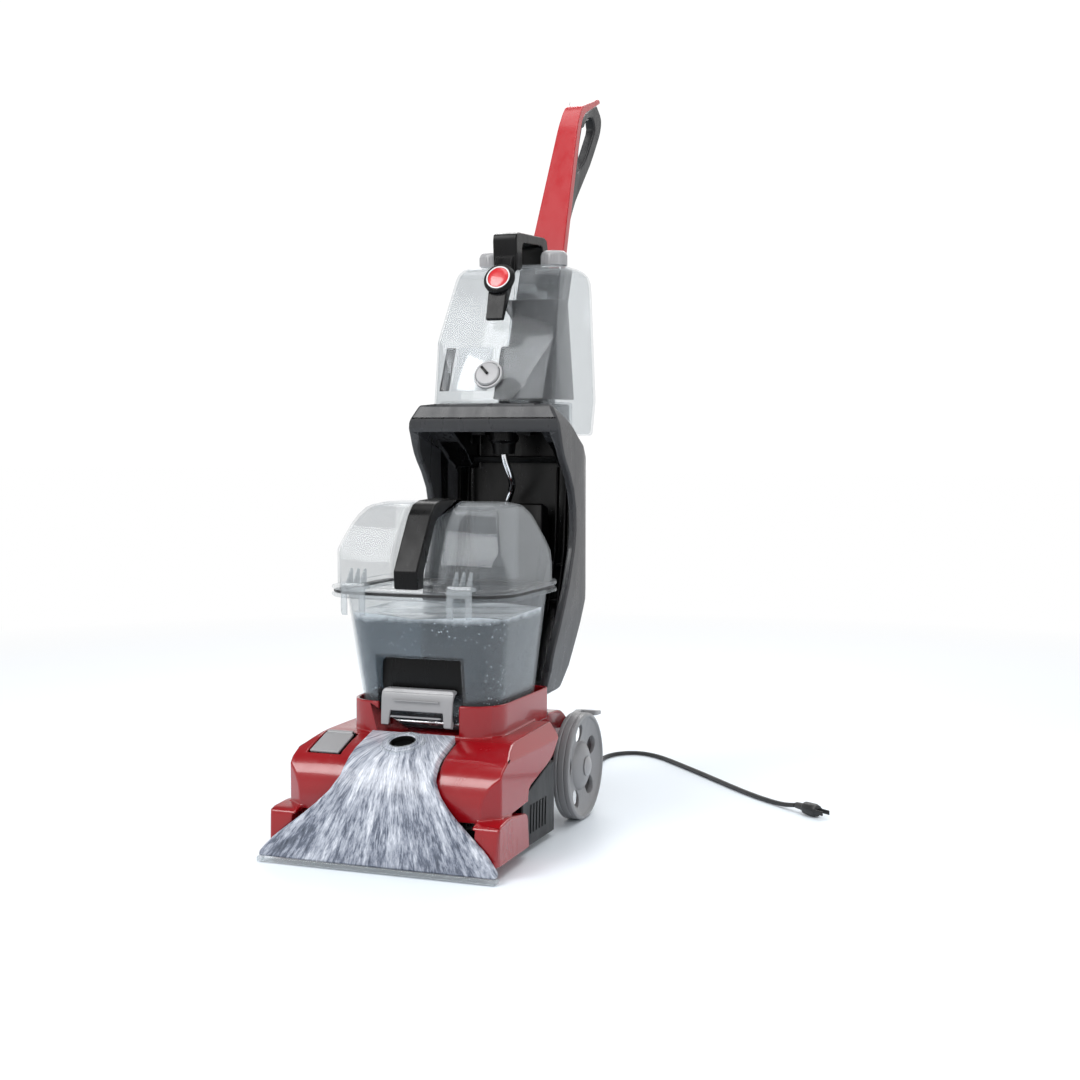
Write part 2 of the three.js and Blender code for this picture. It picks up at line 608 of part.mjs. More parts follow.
// What the sloping shoulders leave away above the hood, beyond x on both sides.
const shoulders = (x, g) => {
  const side = [
    [98, 606], [106 - g, 598 - g], [190 - g, 546 - g], [214 - g, 533 - g], [240 - g, 508 - g],
      [320, 508 - g], [320, 606],
  ];
  return join(sideSlab(side, x, 140), sideSlab(side, -140, -x));
};
function columnShell() {
  const outer = common(
    sidePrism(columnSide, COLUMN_HALF),
    frontSlab(mirrored([[90, 165, 16], [102, 210], [COLUMN_HALF, 330, 60], [COLUMN_HALF, 566, 8],
      [98, 600]]), 90, 320),
    planSlab(mirrored([[COLUMN_HALF, 60], [COLUMN_HALF, 228, 20], [92, 268, 12]]), 100, 610),
  );
  const bay = common(
    sidePrism(bayOutline, COLUMN_HALF - RIM),
    frontSlab(mirrored([[76, 150], [90, 215], [COLUMN_HALF - RIM, 330, 60], [COLUMN_HALF - RIM, 550, 24],
      [74, 585, 10]]), 0, 400),
    planSlab(mirrored([[COLUMN_HALF - RIM, 40], [COLUMN_HALF - RIM, 218, 20], [76, 264, 12]]), 100, 610),
  );
  const cheeks = frontSlab([[-48, 60], [48, 60], [48, 190], [-48, 190]], 108, 142);
  const neck = common(cheeks, sidePrism([[116, 104], [134, 104, 4], [142, 122, 4], [142, 184], [108, 184],
    [108, 122, 4]], 60));
  return cut(
    join(cut(outer, shoulders(SHELF_HALF, 0), cut(bay, shoulders(SHELF_HALF - 8, 8))), neck),
    rod("x", 7.4, -80, 80, [PIVOT.y, PIVOT.z], 20),
    rod("z", 16, 575, 620, [0, 190], 20),
  );
}
place(column, "column_shell", columnShell(), CHARCOAL);
place(base, "column_pivot", rod("x", 7, -61, 61, [PIVOT.y, PIVOT.z], 20), STEEL);
const bracketSide = [[104, 86], [146, 86], [140, 134, 10], [110, 134, 10]];
place(
  base,
  "pivot_bracket",
  cut(
    join(sideSlab(bracketSide, -60, -50), sideSlab(bracketSide, 50, 60), block(-60, 60, 104, 146, 82, 88)),
    rod("x", 7.4, -80, 80, [PIVOT.y, PIVOT.z], 20),
  ),
  CHARCOAL,
);

// The air duct down the back of the bay, open at its top.
const ductSide = [[150, 196], [192, 262, 20], [228, 360, 30], [236, 440], [214, 446], [200, 400, 30],
  [172, 300, 30], [138, 216]];
const ductInside = [[150, 206], [189, 266, 20], [224, 362, 30], [233, 460], [218, 460], [204, 398, 30],
  [176, 298, 30], [144, 218]];
const ductFront = (d) => mirrored([[34 - d, 190], [50 - d, 300, 30], [58 - d, 380, 20], [50 - d, 470, 16]]);
place(
  column,
  "bay_duct",
  cut(
    common(sidePrism(ductSide, 60), frontSlab(ductFront(0), 100, 300)),
    common(sidePrism(ductInside, 60), frontSlab(ductFront(4), 100, 300)),
  ),
  BLACK,
);
const valveProfile = [
  [520, 8], [520, 16], [536, 18], [540, 22], [582.6, 22], [582.6, 12.5], [530, 12.5], [524, 8], [520, 8],
];
place(
  column,
  "tank_seat_valve",
  join(
    solid(turnedZ(valveProfile, 24)).translate([0, 190, 0]),
    cut(block(-52, 52, 182, 198, 566, 581.4), rod("z", 14, 500, 600, [0, 190], 20)),
  ),
  BLACK,
);
place(column, "solution_tube", tube([[0, 190, 519], [4, 194, 500], [6, 210, 478], [-2, 224, 462],
  [-8, 226, 449]], 5, 14, 10), CLEAR_PLASTIC);

// The spine rises behind the clean tank from the column to the handle.
const spineSide = [[265.5, 512], [274, 500, 6], [286, 520, 20], [302, 585, 20], [386, 806], [350, 806],
  [265.5, 585]];
const spineHollow = [[270, 530], [280, 522], [297, 588, 20], [390, 830], [364, 830], [270, 586]];
place(column, "handle_spine", cut(sidePrism(spineSide, SPINE_HALF), sidePrism(spineHollow, SPINE_HALF - 4)),
  CHARCOAL);

const handleFront = [[356, 808], [416, 938], [468, 1050, 16], [492, 1082, 14], [578, 1110, 6]];
const handleShellSide = [...handleFront, [586, 1103, 4], [506, 1072, 14], [486, 1050, 16], [432, 930],
  [374, 808]];
const handleTaper = (d) =>
  mirrored([[30 - d, 800], [22 - d, 950], [16 - d, 1060], [15 - d, 1120]]);
place(
  column,
  "handle_shell",
  common(sidePrism(handleShellSide, 40), frontSlab(handleTaper(0), 300, 640)),
  RED,
);
// Half widths across the grip, from the solid strip in front to the slim bar behind the hand.
function slimming() {
  const lean = new THREE.Matrix4().set(1, 0, 0, 0, 0, 1, 0.45, 0, 0, 0, 1, 0, 0, 0, 0, 1);
  const plan = mirrored([[40, -300], [40, -44], [15, -30], [8.5, 16], [8.5, 200]]);
  return solid(extrude(outline(plan), 400).applyMatrix4(lean).translate(0, 520 - 0.45 * 250, 800));
}
function handleGrip() {
  const back = [
    [374.6, 808], [432.8, 930], [486.6, 1049.6, 16], [506.6, 1071, 14], [587, 1102], [616, 1082, 12],
      [608, 1056, 20], [556, 994, 30],
    [486, 930, 40], [440, 880, 40], [404, 808],
  ];
  const loop = [[502, 1056, 8], [566, 1078, 10], [580, 1060, 10], [530, 1000, 20], [484, 972, 8],
    [482, 1010, 10]];
  return cut(
    common(sidePrism(back, 40), frontSlab(handleTaper(1.5), 300, 640), slimming()),
    sidePrism(loop, 50),
    block(-8, 8, 496, 536, 1050, 1076),
  );
}
place(column, "handle_grip", handleGrip(), CHARCOAL);
place(
  column,
  "trigger",
  sidePrism([[500, 1046, 3], [526, 1054, 3], [534, 1064, 2], [532, 1071, 2], [514, 1065, 2],
    [500, 1058, 2]], 7),
  BLACK,
);

// Cord hooks on the back of the spine: the upper one swings aside.
const hook = (r, reach) => [[0, -r], [reach - 8, -r - 6, 6], [reach, -r - 22, 4], [reach + 6, -r - 20, 4],
  [reach + 2, r, 10], [0, r]];
for (const [name, y, z] of [["cord_hook_upper", 376.6, 780], ["cord_hook_lower", 323.4, 640]]) {
  const flip = name.endsWith("upper") ? -1 : 1;
  const made = cut(
    join(sidePrism(hook(11, 34).map(([a, b, r]) => [a, b * flip, r]), 12), rod("y", 13, 0, 6, [0, 0], 20)),
    rod("y", 3.3, -5, 3, [0, 0], 10),
  );
  const mesh = place(column, name, made, BLACK);
  mesh.position.set(0, y, z);
  mesh.rotation.x = -SPINE_TILT;
}

// ---------------------------------------------------------------- clean-water tank
const cleanTank = new THREE.Group();
machine.add(cleanTank);
const tankSide = (d) => [
  [115 + d, HOOD_Z + GAP + d], [206 + d, 788 - d, 10], [228, 802 - d, 14], [330 - d, 802 - d, 16],
    [346 - d, 780, 14],
  [300 - d, 547 + d, 6], [192 + d, 547 + d, 6],
];
// The clear space over the level shelf, between the tank's two legs.
const archway = (d) => block(-SHELF_HALF - GAP - d, SHELF_HALF + GAP + d, 0, 266 + d, 400, HOOD_Z + GAP + d);
const tankFront = (d) => mirrored([[101 - d, 530], [103 - d, 600], [82 - d, 790, 30], [70, 802 - d, 12]]);
const tankPlan = (d) => mirrored([[0, 108 + d], [103 - d, 140, 40], [103 - d, 330, 24], [84, 348 - d, 10],
  [0, 348 - d]]);
const saddle = (grow) => {
  const g = 1 + grow;
  return sidePrism([[265 - g, 480], [265 - g, 585], [350 - g, 806], [420, 820], [420, 480]], SPINE_HALF + g);
};
function tankShell() {
  const body = (d) => common(sidePrism(tankSide(d), 120), frontSlab(tankFront(d), 90, 360), taperedPlan(d));
  // The plan outline leans with the front face, so it is sheared upwards.
  function taperedPlan(d) {
    const lean = new THREE.Matrix4().set(1, 0, 0, 0, 0, 1, 0.15, 0, 0, 0, 1, 0, 0, 0, 0, 1);
    return solid(extrude(outline(tankPlan(d)), 300).applyMatrix4(lean).translate(0, -12, 520));
  }
  return cut(
    cut(body(0), saddle(0), archway(0)),
    cut(body(2.6), saddle(2.6), archway(2.6)),
    ...[-1, 1].map((s) => rod("z", 13, 780, 830, [s * CAP.x, CAP.y], 20)),
    rod("z", 9, 580, 606, [0, 190], 16),
  );
}
place(cleanTank, "clean_tank_shell", tankShell(), CLEAR_PLASTIC);
place(
  cleanTank,
  "outlet_valve",
  solid(turnedZ([[586, 0], [586, 6], [590, 8], [602, 8], [602.5, 12], [606, 12], [606, 0]],
    16)).translate([0, 190, 0]),
  BLACK,
);
for (const [name, s] of [["fill_cap", 1], ["vent_cap", -1]]) {
  const profile = [[802.4, 0], [802.4, CAP.r], [820, CAP.r - 1], [824, CAP.r - 4], [824, 0]];
  place(cleanTank, name, turnedZ(profile, 24), SILVER).position.set(s * CAP.x, CAP.y, 0);
}
// Discs facing along -Y.
const disc = (profile, segments) => solid(turnedZ(profile, segments).rotateX(Math.PI / 2));
function tankHandle() {
  const half = 19;
  const loopOuter = [[196, 790], [192, 846, 12], [322, 850, 12], [330, 803]];
  const loopInner = [[216, 700], [217, 832, 8], [302, 836, 8], [304, 700]];
  const bar = cut(sidePrism(loopOuter, half), sidePrism(loopInner, half + 5));
  const face = sidePrism([[152, 716, 4], [157, 714], [205, 790], [205, 812, 6], [192, 812, 8], [180, 790]],
    14);
  const boss = disc([[0, 0], [0, BADGE.r], [6, BADGE.r], [9, BADGE.r - 3], [9, 18.6], [7, 18.6], [7, 0]], 32);
  const tilted = boss.rotate([THREE.MathUtils.radToDeg(-TILT), 0, 0]).translate([0, BADGE.y, BADGE.z]);
  return cut(join(bar, face, tilted), tankBlank(), badgeRecess());
}
// Leaves the badge plate's seat open through the tongue.
const badgeRecess = () =>
  disc([[7, 0], [7, 18.6], [30, 18.6], [30, 0]], 32)
    .rotate([THREE.MathUtils.radToDeg(-TILT), 0, 0])
    .translate([0, BADGE.y, BADGE.z]);
// The clean tank's outer form, grown by the touching gap, that its handle sits on.
function tankBlank() {
  return sidePrism([[115 - GAP, 500], [115 - GAP, HOOD_Z], [206 - GAP, 788, 10], [228, 802 + GAP, 14],
    [400, 802 + GAP], [400, 500]], 130);
}
place(cleanTank, "clean_tank_handle", tankHandle(), BLACK);

const onFront = (made, y, z) => {
  const spot = new THREE.Group();
  spot.position.set(0, y, z);
  spot.rotation.x = -TILT;
  cleanTank.add(spot);
  return (name, material) => place(spot, name, made, material);
};
onFront(disc([[7.4, 0], [7.4, 18], [9.4, 18], [10.4, 14], [10.4, 0]], 32), BADGE.y, BADGE.z)("badge_plate",
  RED);
onFront(
  join(disc([[0.5, 0], [0.5, DIAL.r], [6, DIAL.r], [8, DIAL.r - 2], [8, 0]], 28),
    block(-2.4, 2.4, -12, -7.5, -14, 14)),
  131.6,
  DIAL.z,
)("mix_dial", SILVER);

// ---------------------------------------------------------------- mains cord
const cordGroup = new THREE.Group();
machine.add(cordGroup);
const EXIT = { x: 30, y: 182, z: 66 };
place(
  base,
  "strain_relief",
  solid(
    turnedZ([[-14, 0], [-14, 9], [-5, 9], [-5, 5.8], [0.6, 5.8], [0.6, 8], [6, 7], [34, 4.6], [34, 0]],
      16).rotateX(-Math.PI / 2),
  ).translate([EXIT.x, EXIT.y, EXIT.z]),
  RUBBER,
);
// From the strain relief down to the coil that lies close behind the base.
const leadIn = [
  [EXIT.x, EXIT.y + 34.4, EXIT.z], [30.3, 226, 66], [31.5, 237, 63.5], [34, 248, 57.5], [38, 258, 48.5],
  [43, 267, 40.5], [42, 280, 38.4],
];
// From the coil out behind the right wheel and round to the plug.
const leadOut = [
  [62.5, 362, 3.9], [62.5, 385, 3.9], [61, 420, 3.9], [55, 458, 3.9], [46, 495, 3.9], [41, 531, 3.9],
  [46, 563, 3.9], [64, 587, 3.9], [92, 595, 3.9], [130, 573, 3.9], [175, 525, 3.9], [226, 471, 3.9],
  [282, 408, 3.9], [334, 350, 3.9], [376, 312, 3.9], [402, 291, 4.6], [415, 280.5, 7.4], [424, 275, 9],
];
const coilProfile = [
  [0.2, 34], [0.2, 68], [8, 72], [24, 72], [34, 62], [34, 42], [26, 32], [8, 30], [0.2, 34],
];
place(cordGroup, "cord_lead", tube(leadIn, CORD.r, 10, 8), RUBBER);
place(cordGroup, "cord_coil", turnedZ(coilProfile, 28), RUBBER).position.set(CORD.x, CORD.y + 20, 0);
place(cordGroup, "cord_run", tube(leadOut, CORD.r, 44, 8), RUBBER);
function plug() {
  const body = solid(turnedX([[0, 0], [0, 4.6], [16, 5.4], [20, 9], [40, 9.6], [46, 8], [46, 0]], 16));
  const blades = [-1, 1].map((s) => block(45, 63, s * 6.3 - 0.8, s * 6.3 + 0.8, -3.2, 3.2));
  return join(body, ...blades);
}
const plugMesh = place(cordGroup, "cord_plug", plug(), RUBBER);
plugMesh.position.set(425.2, 274.2, 9.8);
plugMesh.rotation.z = Math.atan2(-15, 20);

export default machine;
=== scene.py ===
"""An upright carpet washer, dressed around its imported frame: mouldings, clear tanks, water, wheels and cord."""

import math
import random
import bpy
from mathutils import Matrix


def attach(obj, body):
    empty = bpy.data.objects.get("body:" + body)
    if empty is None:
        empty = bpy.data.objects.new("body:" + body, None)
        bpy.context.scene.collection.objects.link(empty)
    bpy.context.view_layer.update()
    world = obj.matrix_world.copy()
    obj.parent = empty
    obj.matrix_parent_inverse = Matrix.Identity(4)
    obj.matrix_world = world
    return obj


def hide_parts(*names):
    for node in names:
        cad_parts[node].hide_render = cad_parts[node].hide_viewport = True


bl_info = {
    "name": "Upright carpet washer",
    "version": (1, 0, 0),
    "blender": (4, 5, 0),
    "location": "3D View > Sidebar > Washer",
    "description": "Builds an upright carpet washer piece by piece",
    "category": "Add Mesh",
}

import bmesh
import bpy
from mathutils.bvhtree import BVHTree
from mathutils import Matrix, Vector

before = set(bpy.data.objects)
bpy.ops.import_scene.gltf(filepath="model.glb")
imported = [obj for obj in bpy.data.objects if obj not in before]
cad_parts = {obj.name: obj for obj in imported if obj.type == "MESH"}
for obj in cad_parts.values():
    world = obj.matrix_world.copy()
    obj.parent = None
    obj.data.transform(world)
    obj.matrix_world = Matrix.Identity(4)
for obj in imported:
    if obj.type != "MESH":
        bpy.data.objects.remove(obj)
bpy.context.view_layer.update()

MIDDLE_Y = 181.2  # design y of the row frame's origin, mm
PORT_TILT = math.atan2(20, 68)  # lean of the nozzle port
TANK_LEAN = math.atan2(92, 200)  # slope of the clean tank's front
BADGE = (176, 774)  # design y and z of the badge's middle
DIAL = (131.6, 634)  # and of the dial's
CAP = (50, 268, 802)  # seat of the right-hand tank cap
WHEEL = (153, 125, 76)  # middle of the right wheel's outer face
BASE, TANK, LID, COLUMN, CLEAN = "base", "recovery_tank", "tank_lid", "column", "clean_tank"


# ------------------------------------------------------------------ settings
class WasherSettings(bpy.types.PropertyGroup):
    red: bpy.props.FloatVectorProperty(
        name="Red shell", description="Colour of the red mouldings", subtype="COLOR", default=(0.27, 0.003, 0.007)
    )
    charcoal: bpy.props.FloatVectorProperty(
        name="Column", description="Colour of the dark column", subtype="COLOR", default=(0.033, 0.034, 0.037)
    )
    silver: bpy.props.FloatVectorProperty(
        name="Grey trim", description="Colour of wheels, pedals and lever", subtype="COLOR",
        default=(0.29, 0.29, 0.30),
    )
    water: bpy.props.FloatVectorProperty(
        name="Water", description="Colour of the used water", subtype="COLOR", default=(0.034, 0.048, 0.060)
    )
    water_top: bpy.props.FloatProperty(
        name="Water level", description="Height of the used water's surface", unit="LENGTH", default=0.312
    )
    cord_length: bpy.props.FloatProperty(
        name="Cord length", description="Mains cord from strain relief to plug", unit="LENGTH", default=6.1
    )
    cord_diameter: bpy.props.FloatProperty(
        name="Cord diameter", description="Outside diameter of the mains cord", unit="LENGTH", default=0.007
    )
    floor: bpy.props.FloatVectorProperty(
        name="Floor", description="Colour of the studio floor", subtype="COLOR", default=(0.80, 0.86, 0.92)
    )


# ------------------------------------------------------------------ shader maths
class Socket:
    """An output socket that Python expressions can be written with."""

    def __init__(self, finish, output):
        self.finish = finish
        self.output = output

    def _math(self, operation, a, b):
        return self.finish.node("ShaderNodeMath", {"operation": operation}, {0: a, 1: b})

    def __add__(self, other):
        return self._math("ADD", self, other)

    def __radd__(self, other):
        return self._math("ADD", other, self)

    def __sub__(self, other):
        return self._math("SUBTRACT", self, other)

    def __rsub__(self, other):
        return self._math("SUBTRACT", other, self)

    def __mul__(self, other):
        return self._math("MULTIPLY", self, other)

    def __rmul__(self, other):
        return self._math("MULTIPLY", other, self)

    def __pow__(self, other):
        return self._math("POWER", self, other)


class Finish:
    """A material built from nodes."""

    def __init__(self, name):
        self.material = bpy.data.materials.new(name)
        self.material.use_nodes = True
        self.tree = self.material.node_tree
        self.tree.nodes.clear()
        self.out = self.tree.nodes.new("ShaderNodeOutputMaterial")

    def node(self, kind, settings=None, sockets=None, out=0):
        """Adds a node: its settings first, then its sockets' values or links."""
        made = self.tree.nodes.new(kind)
        for key, value in (settings or {}).items():
            if key == "stops":
                ramp = made.color_ramp
                while len(ramp.elements) < len(value):
                    ramp.elements.new(0.5)
                for element, (position, colour) in zip(ramp.elements, value):
                    element.position = position
                    element.color = (*colour, 1) if len(colour) == 3 else colour
            else:
                setattr(made, key, value)
        for key, value in (sockets or {}).items():
            if isinstance(value, Socket):
                self.tree.links.new(value.output, made.inputs[key])
            else:
                made.inputs[key].default_value = value
        return Socket(self, made.outputs[out])

    def place(self, scale=(1, 1, 1), offset=(0, 0, 0), turn=(0, 0, 0)):
        """Object coordinates, moved, turned and scaled."""
        raw = self.node("ShaderNodeTexCoord", out="Object")
        return self.node(
            "ShaderNodeMapping", None, {"Vector": raw, "Location": offset, "Rotation": turn, "Scale": scale},
        )

    def noise(self, scale, detail=3.0, stretch=(1, 1, 1), rough=0.5, vector=None):
        where = vector or self.place(stretch)
        settings = {"noise_dimensions": "3D"}
        return self.node(
            "ShaderNodeTexNoise", settings, {"Vector": where, "Scale": scale, "Detail": detail, "Roughness": rough}
        )

    def ramp(self, factor, stops):
        return self.node("ShaderNodeValToRGB", {"stops": stops}, {"Fac": factor})

    def step(self, value, low, high, start=0.0, end=1.0):
        """value from low..high is spread over start..end and held there."""
        sockets = {"Value": value, "From Min": low, "From Max": high, "To Min": start, "To Max": end}
        return self.node("ShaderNodeMapRange", {"clamp": True}, sockets)

    def mix(self, factor, a, b):
        return self.node("ShaderNodeMix", {"data_type": "RGBA"}, {"Factor": factor, 6: a, 7: b}, out=2)

    def axis(self, name):
        raw = self.node("ShaderNodeTexCoord", out="Object")
        return self.node("ShaderNodeSeparateXYZ", None, {"Vector": raw}, out=name)

    def bump(self, height, strength, distance=0.001):
        return self.node("ShaderNodeBump", None, {"Height": height, "Strength": strength, "Distance": distance})

    def surface(self, **sockets):
        """A Principled shader from socket names with underscores for spaces."""
        return self.node("ShaderNodeBsdfPrincipled", None, {k.replace("_", " "): v for k, v in sockets.items()})

    def finish(self, shader):
        self.tree.links.new(shader.output, self.out.inputs["Surface"])
        return self.material


def rgb(colour, gain=1.0):
    return (*[min(1.0, c * gain) for c in colour[:3]], 1)


def moulded(name, colour, roughness, coat=0.0, grain=0.12, mottle=0.10, grain_scale=1400, shine=0.5, shade_colour=None):
    """Moulded plastic: slow colour drift, fine handling marks in the gloss, and a fine moulded grain.

    The optional darker colour is painted shade, laid on the faces marked as looking into the column's bay.
    """
    f = Finish(name)
    drift = f.noise(9, 3)
    marks = f.noise(60, 5, stretch=(1, 1, 0.25), rough=0.65)
    base = f.mix(drift, rgb(colour, 1 - mottle), rgb(colour, 1 + mottle))
    # faces looking into the column's bay get a near-black painted shade over the plastic's own colour
    if shade_colour:
        marked = f.node("ShaderNodeAttribute", {"attribute_name": "inner_wall"}, out="Fac")
        base = f.mix(marked, base, rgb(shade_colour))
    rough = f.step(marks, 0.35, 0.75, roughness * 0.82, min(0.95, roughness * 1.35))
    height = f.noise(grain_scale, 2) + f.noise(45, 2) * 0.35
    shader = f.surface(
        Base_Color=base, Roughness=rough, Coat_Weight=coat, Coat_Roughness=0.06, Normal=f.bump(height, grain, 0.0002),
        Specular_IOR_Level=shine,
    )
    return f.finish(shader)


def clear_plastic(name, tint=(0.50, 0.52, 0.54), seen=(0.93, 0.94, 0.945), body=0.06, edge=0.62, roughness=0.05):
    """Thin clear moulding: mostly seen through, darker and glossier where it turns away."""
    f = Finish(name)
    facing = f.node("ShaderNodeLayerWeight", None, {"Blend": 0.30}, out="Facing")
    streaks = f.step(f.noise(7, 4, stretch=(1, 1, 0.35), rough=0.6), 0.45, 0.8, 0.0, 0.05)
    amount = f.node(
        "ShaderNodeMath", {"operation": "ADD", "use_clamp": True}, {0: facing ** 2.4 * edge + body, 1: streaks},
    )
    marks = f.step(f.noise(40, 4), 0.3, 0.8, roughness * 0.6, roughness * 1.8)
    gloss = f.surface(
        Base_Color=rgb(tint), Roughness=marks, Metallic=0.15, Normal=f.bump(f.noise(14, 2), 0.04, 0.0006),
    )
    through = f.node("ShaderNodeBsdfTransparent", None, {"Color": rgb(seen)})
    return f.finish(f.node("ShaderNodeMixShader", None, {0: amount, 1: through, 2: gloss}))


def rushing_window(name):
    """Clear nozzle moulding with white water fanning out from its port over a dark air path."""
    f = Finish(name)
    port_y, port_z = (-160 - MIDDLE_Y) / 1000, 0.205
    x, y, z = f.axis("X"), f.axis("Y"), f.axis("Z")
    down = (port_z - z) + (port_y - y) * 0.55
    angle = f.node("ShaderNodeMath", {"operation": "ARCTAN2"}, {0: x, 1: down})
    reach = f.node("ShaderNodeMath", {"operation": "SQRT"}, {0: x * x + down * down})
    fan = f.node("ShaderNodeCombineXYZ", None, {0: angle * 9.0, 1: reach * 9.0, 2: 0.3})
    wide = f.noise(1.6, 6, rough=0.72, vector=fan)
    fine_fan = f.node("ShaderNodeCombineXYZ", None, {0: angle * 34.0, 1: reach * 26.0, 2: 1.7})
    fine = f.noise(1.8, 7, rough=0.75, vector=fine_fan)
    spray = wide * 0.55 + fine * 0.52 + f.step(z, 0.03, 0.15, -0.045, 0.02)
    base = f.ramp(
        spray,
        [
            (0.36, (0.035, 0.045, 0.065)), (0.46, (0.12, 0.14, 0.19)), (0.56, (0.42, 0.45, 0.52)),
            (0.68, (0.88, 0.90, 0.94)),
        ],
    )
    shader = f.surface(
        Base_Color=base, Roughness=f.step(spray, 0.4, 0.7, 0.24, 0.40), Coat_Weight=0.25, Coat_Roughness=0.06,
        Normal=f.bump(fine, 0.25, 0.0012),
    )
    return f.finish(shader)


def used_water(name, colour, top):
    """Used water: cloudy blue-grey, froth along its top and bubbles through it."""
    f = Finish(name)
    z = f.axis("Z")
    cloud = f.noise(14, 5, rough=0.6)
    froth_line = f.noise(38, 6, rough=0.7)
    froth = f.step(z + froth_line * 0.016, top - 0.004, top + 0.006)
    bubbles = f.node("ShaderNodeTexVoronoi", {"feature": "F1"}, {"Vector": f.place(), "Scale": 170.0})
    specks = f.step(bubbles, 0.12, 0.20, 1.0, 0.0) * f.step(f.noise(18, 3), 0.46, 0.58)
    base = f.mix(cloud, rgb(colour, 0.75), rgb(colour, 1.7))
    base = f.mix(specks * 0.7, base, (0.75, 0.82, 0.88, 1))
    base = f.mix(froth, base, (0.86, 0.90, 0.93, 1))
    gloss = f.surface(Base_Color=base, Roughness=0.12, Coat_Weight=0.5, Normal=f.bump(froth_line, 0.3, 0.002))
    through = f.node("ShaderNodeBsdfTransparent", None, {"Color": (0.62, 0.72, 0.80, 1)})
    amount = f.step(froth + specks + cloud * 0.3, 0.0, 1.0, 0.62, 0.95)
    return f.finish(f.node("ShaderNodeMixShader", None, {0: amount, 1: through, 2: gloss}))


def rubbery(name, colour=(0.011, 0.011, 0.012), roughness=0.5):
    f = Finish(name)
    fine = f.noise(900, 3)
    dust = f.step(f.noise(22, 4), 0.5, 0.8, 0.0, 0.25)
    base = f.mix(dust, rgb(colour), rgb(colour, 2.6))
    rough = f.step(f.noise(50, 3), 0.3, 0.7, roughness * 0.85, roughness * 1.2)
    return f.finish(f.surface(Base_Color=base, Roughness=rough, Normal=f.bump(fine, 0.2, 0.0002)))


def steel(name, colour=(0.60, 0.60, 0.61), roughness=0.24):
    f = Finish(name)
    grain = f.noise(260, 4, stretch=(1, 6, 6))
    base = f.mix(grain, rgb(colour, 0.85), rgb(colour, 1.15))
    rough = f.step(grain, 0.3, 0.7, roughness * 0.8, roughness * 1.4)
    return f.finish(f.surface(Base_Color=base, Roughness=rough, Metallic=1.0, Normal=f.bump(grain, 0.08, 0.0002)))


def bristle(name):
    f = Finish(name)
    fibres = f.noise(1500, 3, stretch=(1, 1, 0.05))
    base = f.mix(fibres, (0.03, 0.07, 0.20, 1), (0.12, 0.24, 0.52, 1))
    return f.finish(f.surface(Base_Color=base, Roughness=0.6, Normal=f.bump(fibres, 0.6, 0.0006)))


def studio_floor(name, colour):
    f = Finish(name)
    slow = f.noise(1.1, 2)
    base = f.mix(slow, rgb(colour, 0.97), rgb(colour, 1.03))
    x, y = f.axis("X"), f.axis("Y")
    reach = f.node("ShaderNodeMath", {"operation": "SQRT"}, {0: x * x + y * y})
    near = f.surface(Base_Color=base, Roughness=0.45)
    far = f.node("ShaderNodeEmission", None, {"Color": (1, 1, 1, 1), "Strength": 1.0})
    return f.finish(f.node("ShaderNodeMixShader", None, {0: f.step(reach, 0.9, 2.6), 1: near, 2: far}))


LOOKS = {}


def make_looks(s):
    LOOKS.update(
        red=moulded("red_gloss", s.red, 0.22, coat=0.35, grain=0.05, mottle=0.06, shine=0.4),
        handle_red=moulded(
            "handle_red_satin", [c * 1.25 for c in s.red], 0.34, coat=0.15, grain=0.06, mottle=0.06, shine=0.45
        ),
        charcoal=moulded("charcoal_satin", s.charcoal, 0.30, grain=0.10, shine=0.30),
        # column charcoal with a near-black painted shade on its marked bay faces
        shell=moulded("column_charcoal_bay_shade", s.charcoal, 0.30, grain=0.10, shine=0.30, shade_colour=(0.002, 0.002, 0.0022)),
        chassis=moulded("chassis_charcoal", [c * 0.32 for c in s.charcoal], 0.34, grain=0.12, shine=0.2),
        grip=moulded("grip_charcoal", [c * 0.5 for c in s.charcoal], 0.38, grain=0.14, shine=0.22),
        black=moulded("black_satin", (0.003, 0.003, 0.0033), 0.30, grain=0.10, shine=0.17),
        # near-black, dull painted shade for the parts inside the column's bay and the nozzle port's throat
        cavity=moulded("bay_black_painted_shade", (0.0022, 0.0022, 0.0024), 0.40, grain=0.14, shine=0.12),
        silver=moulded("grey_satin", s.silver, 0.34, coat=0.1, grain=0.14, grain_scale=1100),
        wheel=moulded("wheel_grey", [c * 0.75 for c in s.silver], 0.38, coat=0.05, grain=0.16, grain_scale=900),
        clear=clear_plastic("clear_moulding"),
        lid_clear=clear_plastic("clear_lid", seen=(0.955, 0.96, 0.962), body=0.08, edge=0.7),
        thick_clear=clear_plastic(
            "clear_thick_edge", tint=(0.62, 0.65, 0.67), seen=(0.86, 0.88, 0.89), body=0.22, edge=0.75,
        ),
        smoked=clear_plastic(
            "smoked_inner_wall", tint=(0.055, 0.056, 0.060), seen=(0.20, 0.20, 0.21), body=0.62, edge=0.4,
        ),
        label=clear_plastic(
            "pale_clear_panel", tint=(0.74, 0.75, 0.76), seen=(0.93, 0.935, 0.94), body=0.55, edge=0.3,
        ),
        window=rushing_window("nozzle_rushing_water"),
        water=used_water("used_water", s.water, s.water_top),
        rubber=rubbery("black_rubber"),
        cord=rubbery("cord_black", roughness=0.42),
        steel=steel("plain_steel"),
        chrome=steel("bright_tube", (0.75, 0.76, 0.78), 0.10),
        bristle=bristle("blue_bristle"),
        badge=moulded("badge_red", (0.50, 0.012, 0.018), 0.25, coat=0.6, grain=0.04),
        pale=moulded("pale_ring", (0.62, 0.62, 0.63), 0.3, coat=0.3, grain=0.05),
    )


# ------------------------------------------------------------------ modelling tools
def mm(x, y, z):
    """Design millimetres to row-frame metres."""
    return Vector((x, y - MIDDLE_Y, z)) / 1000


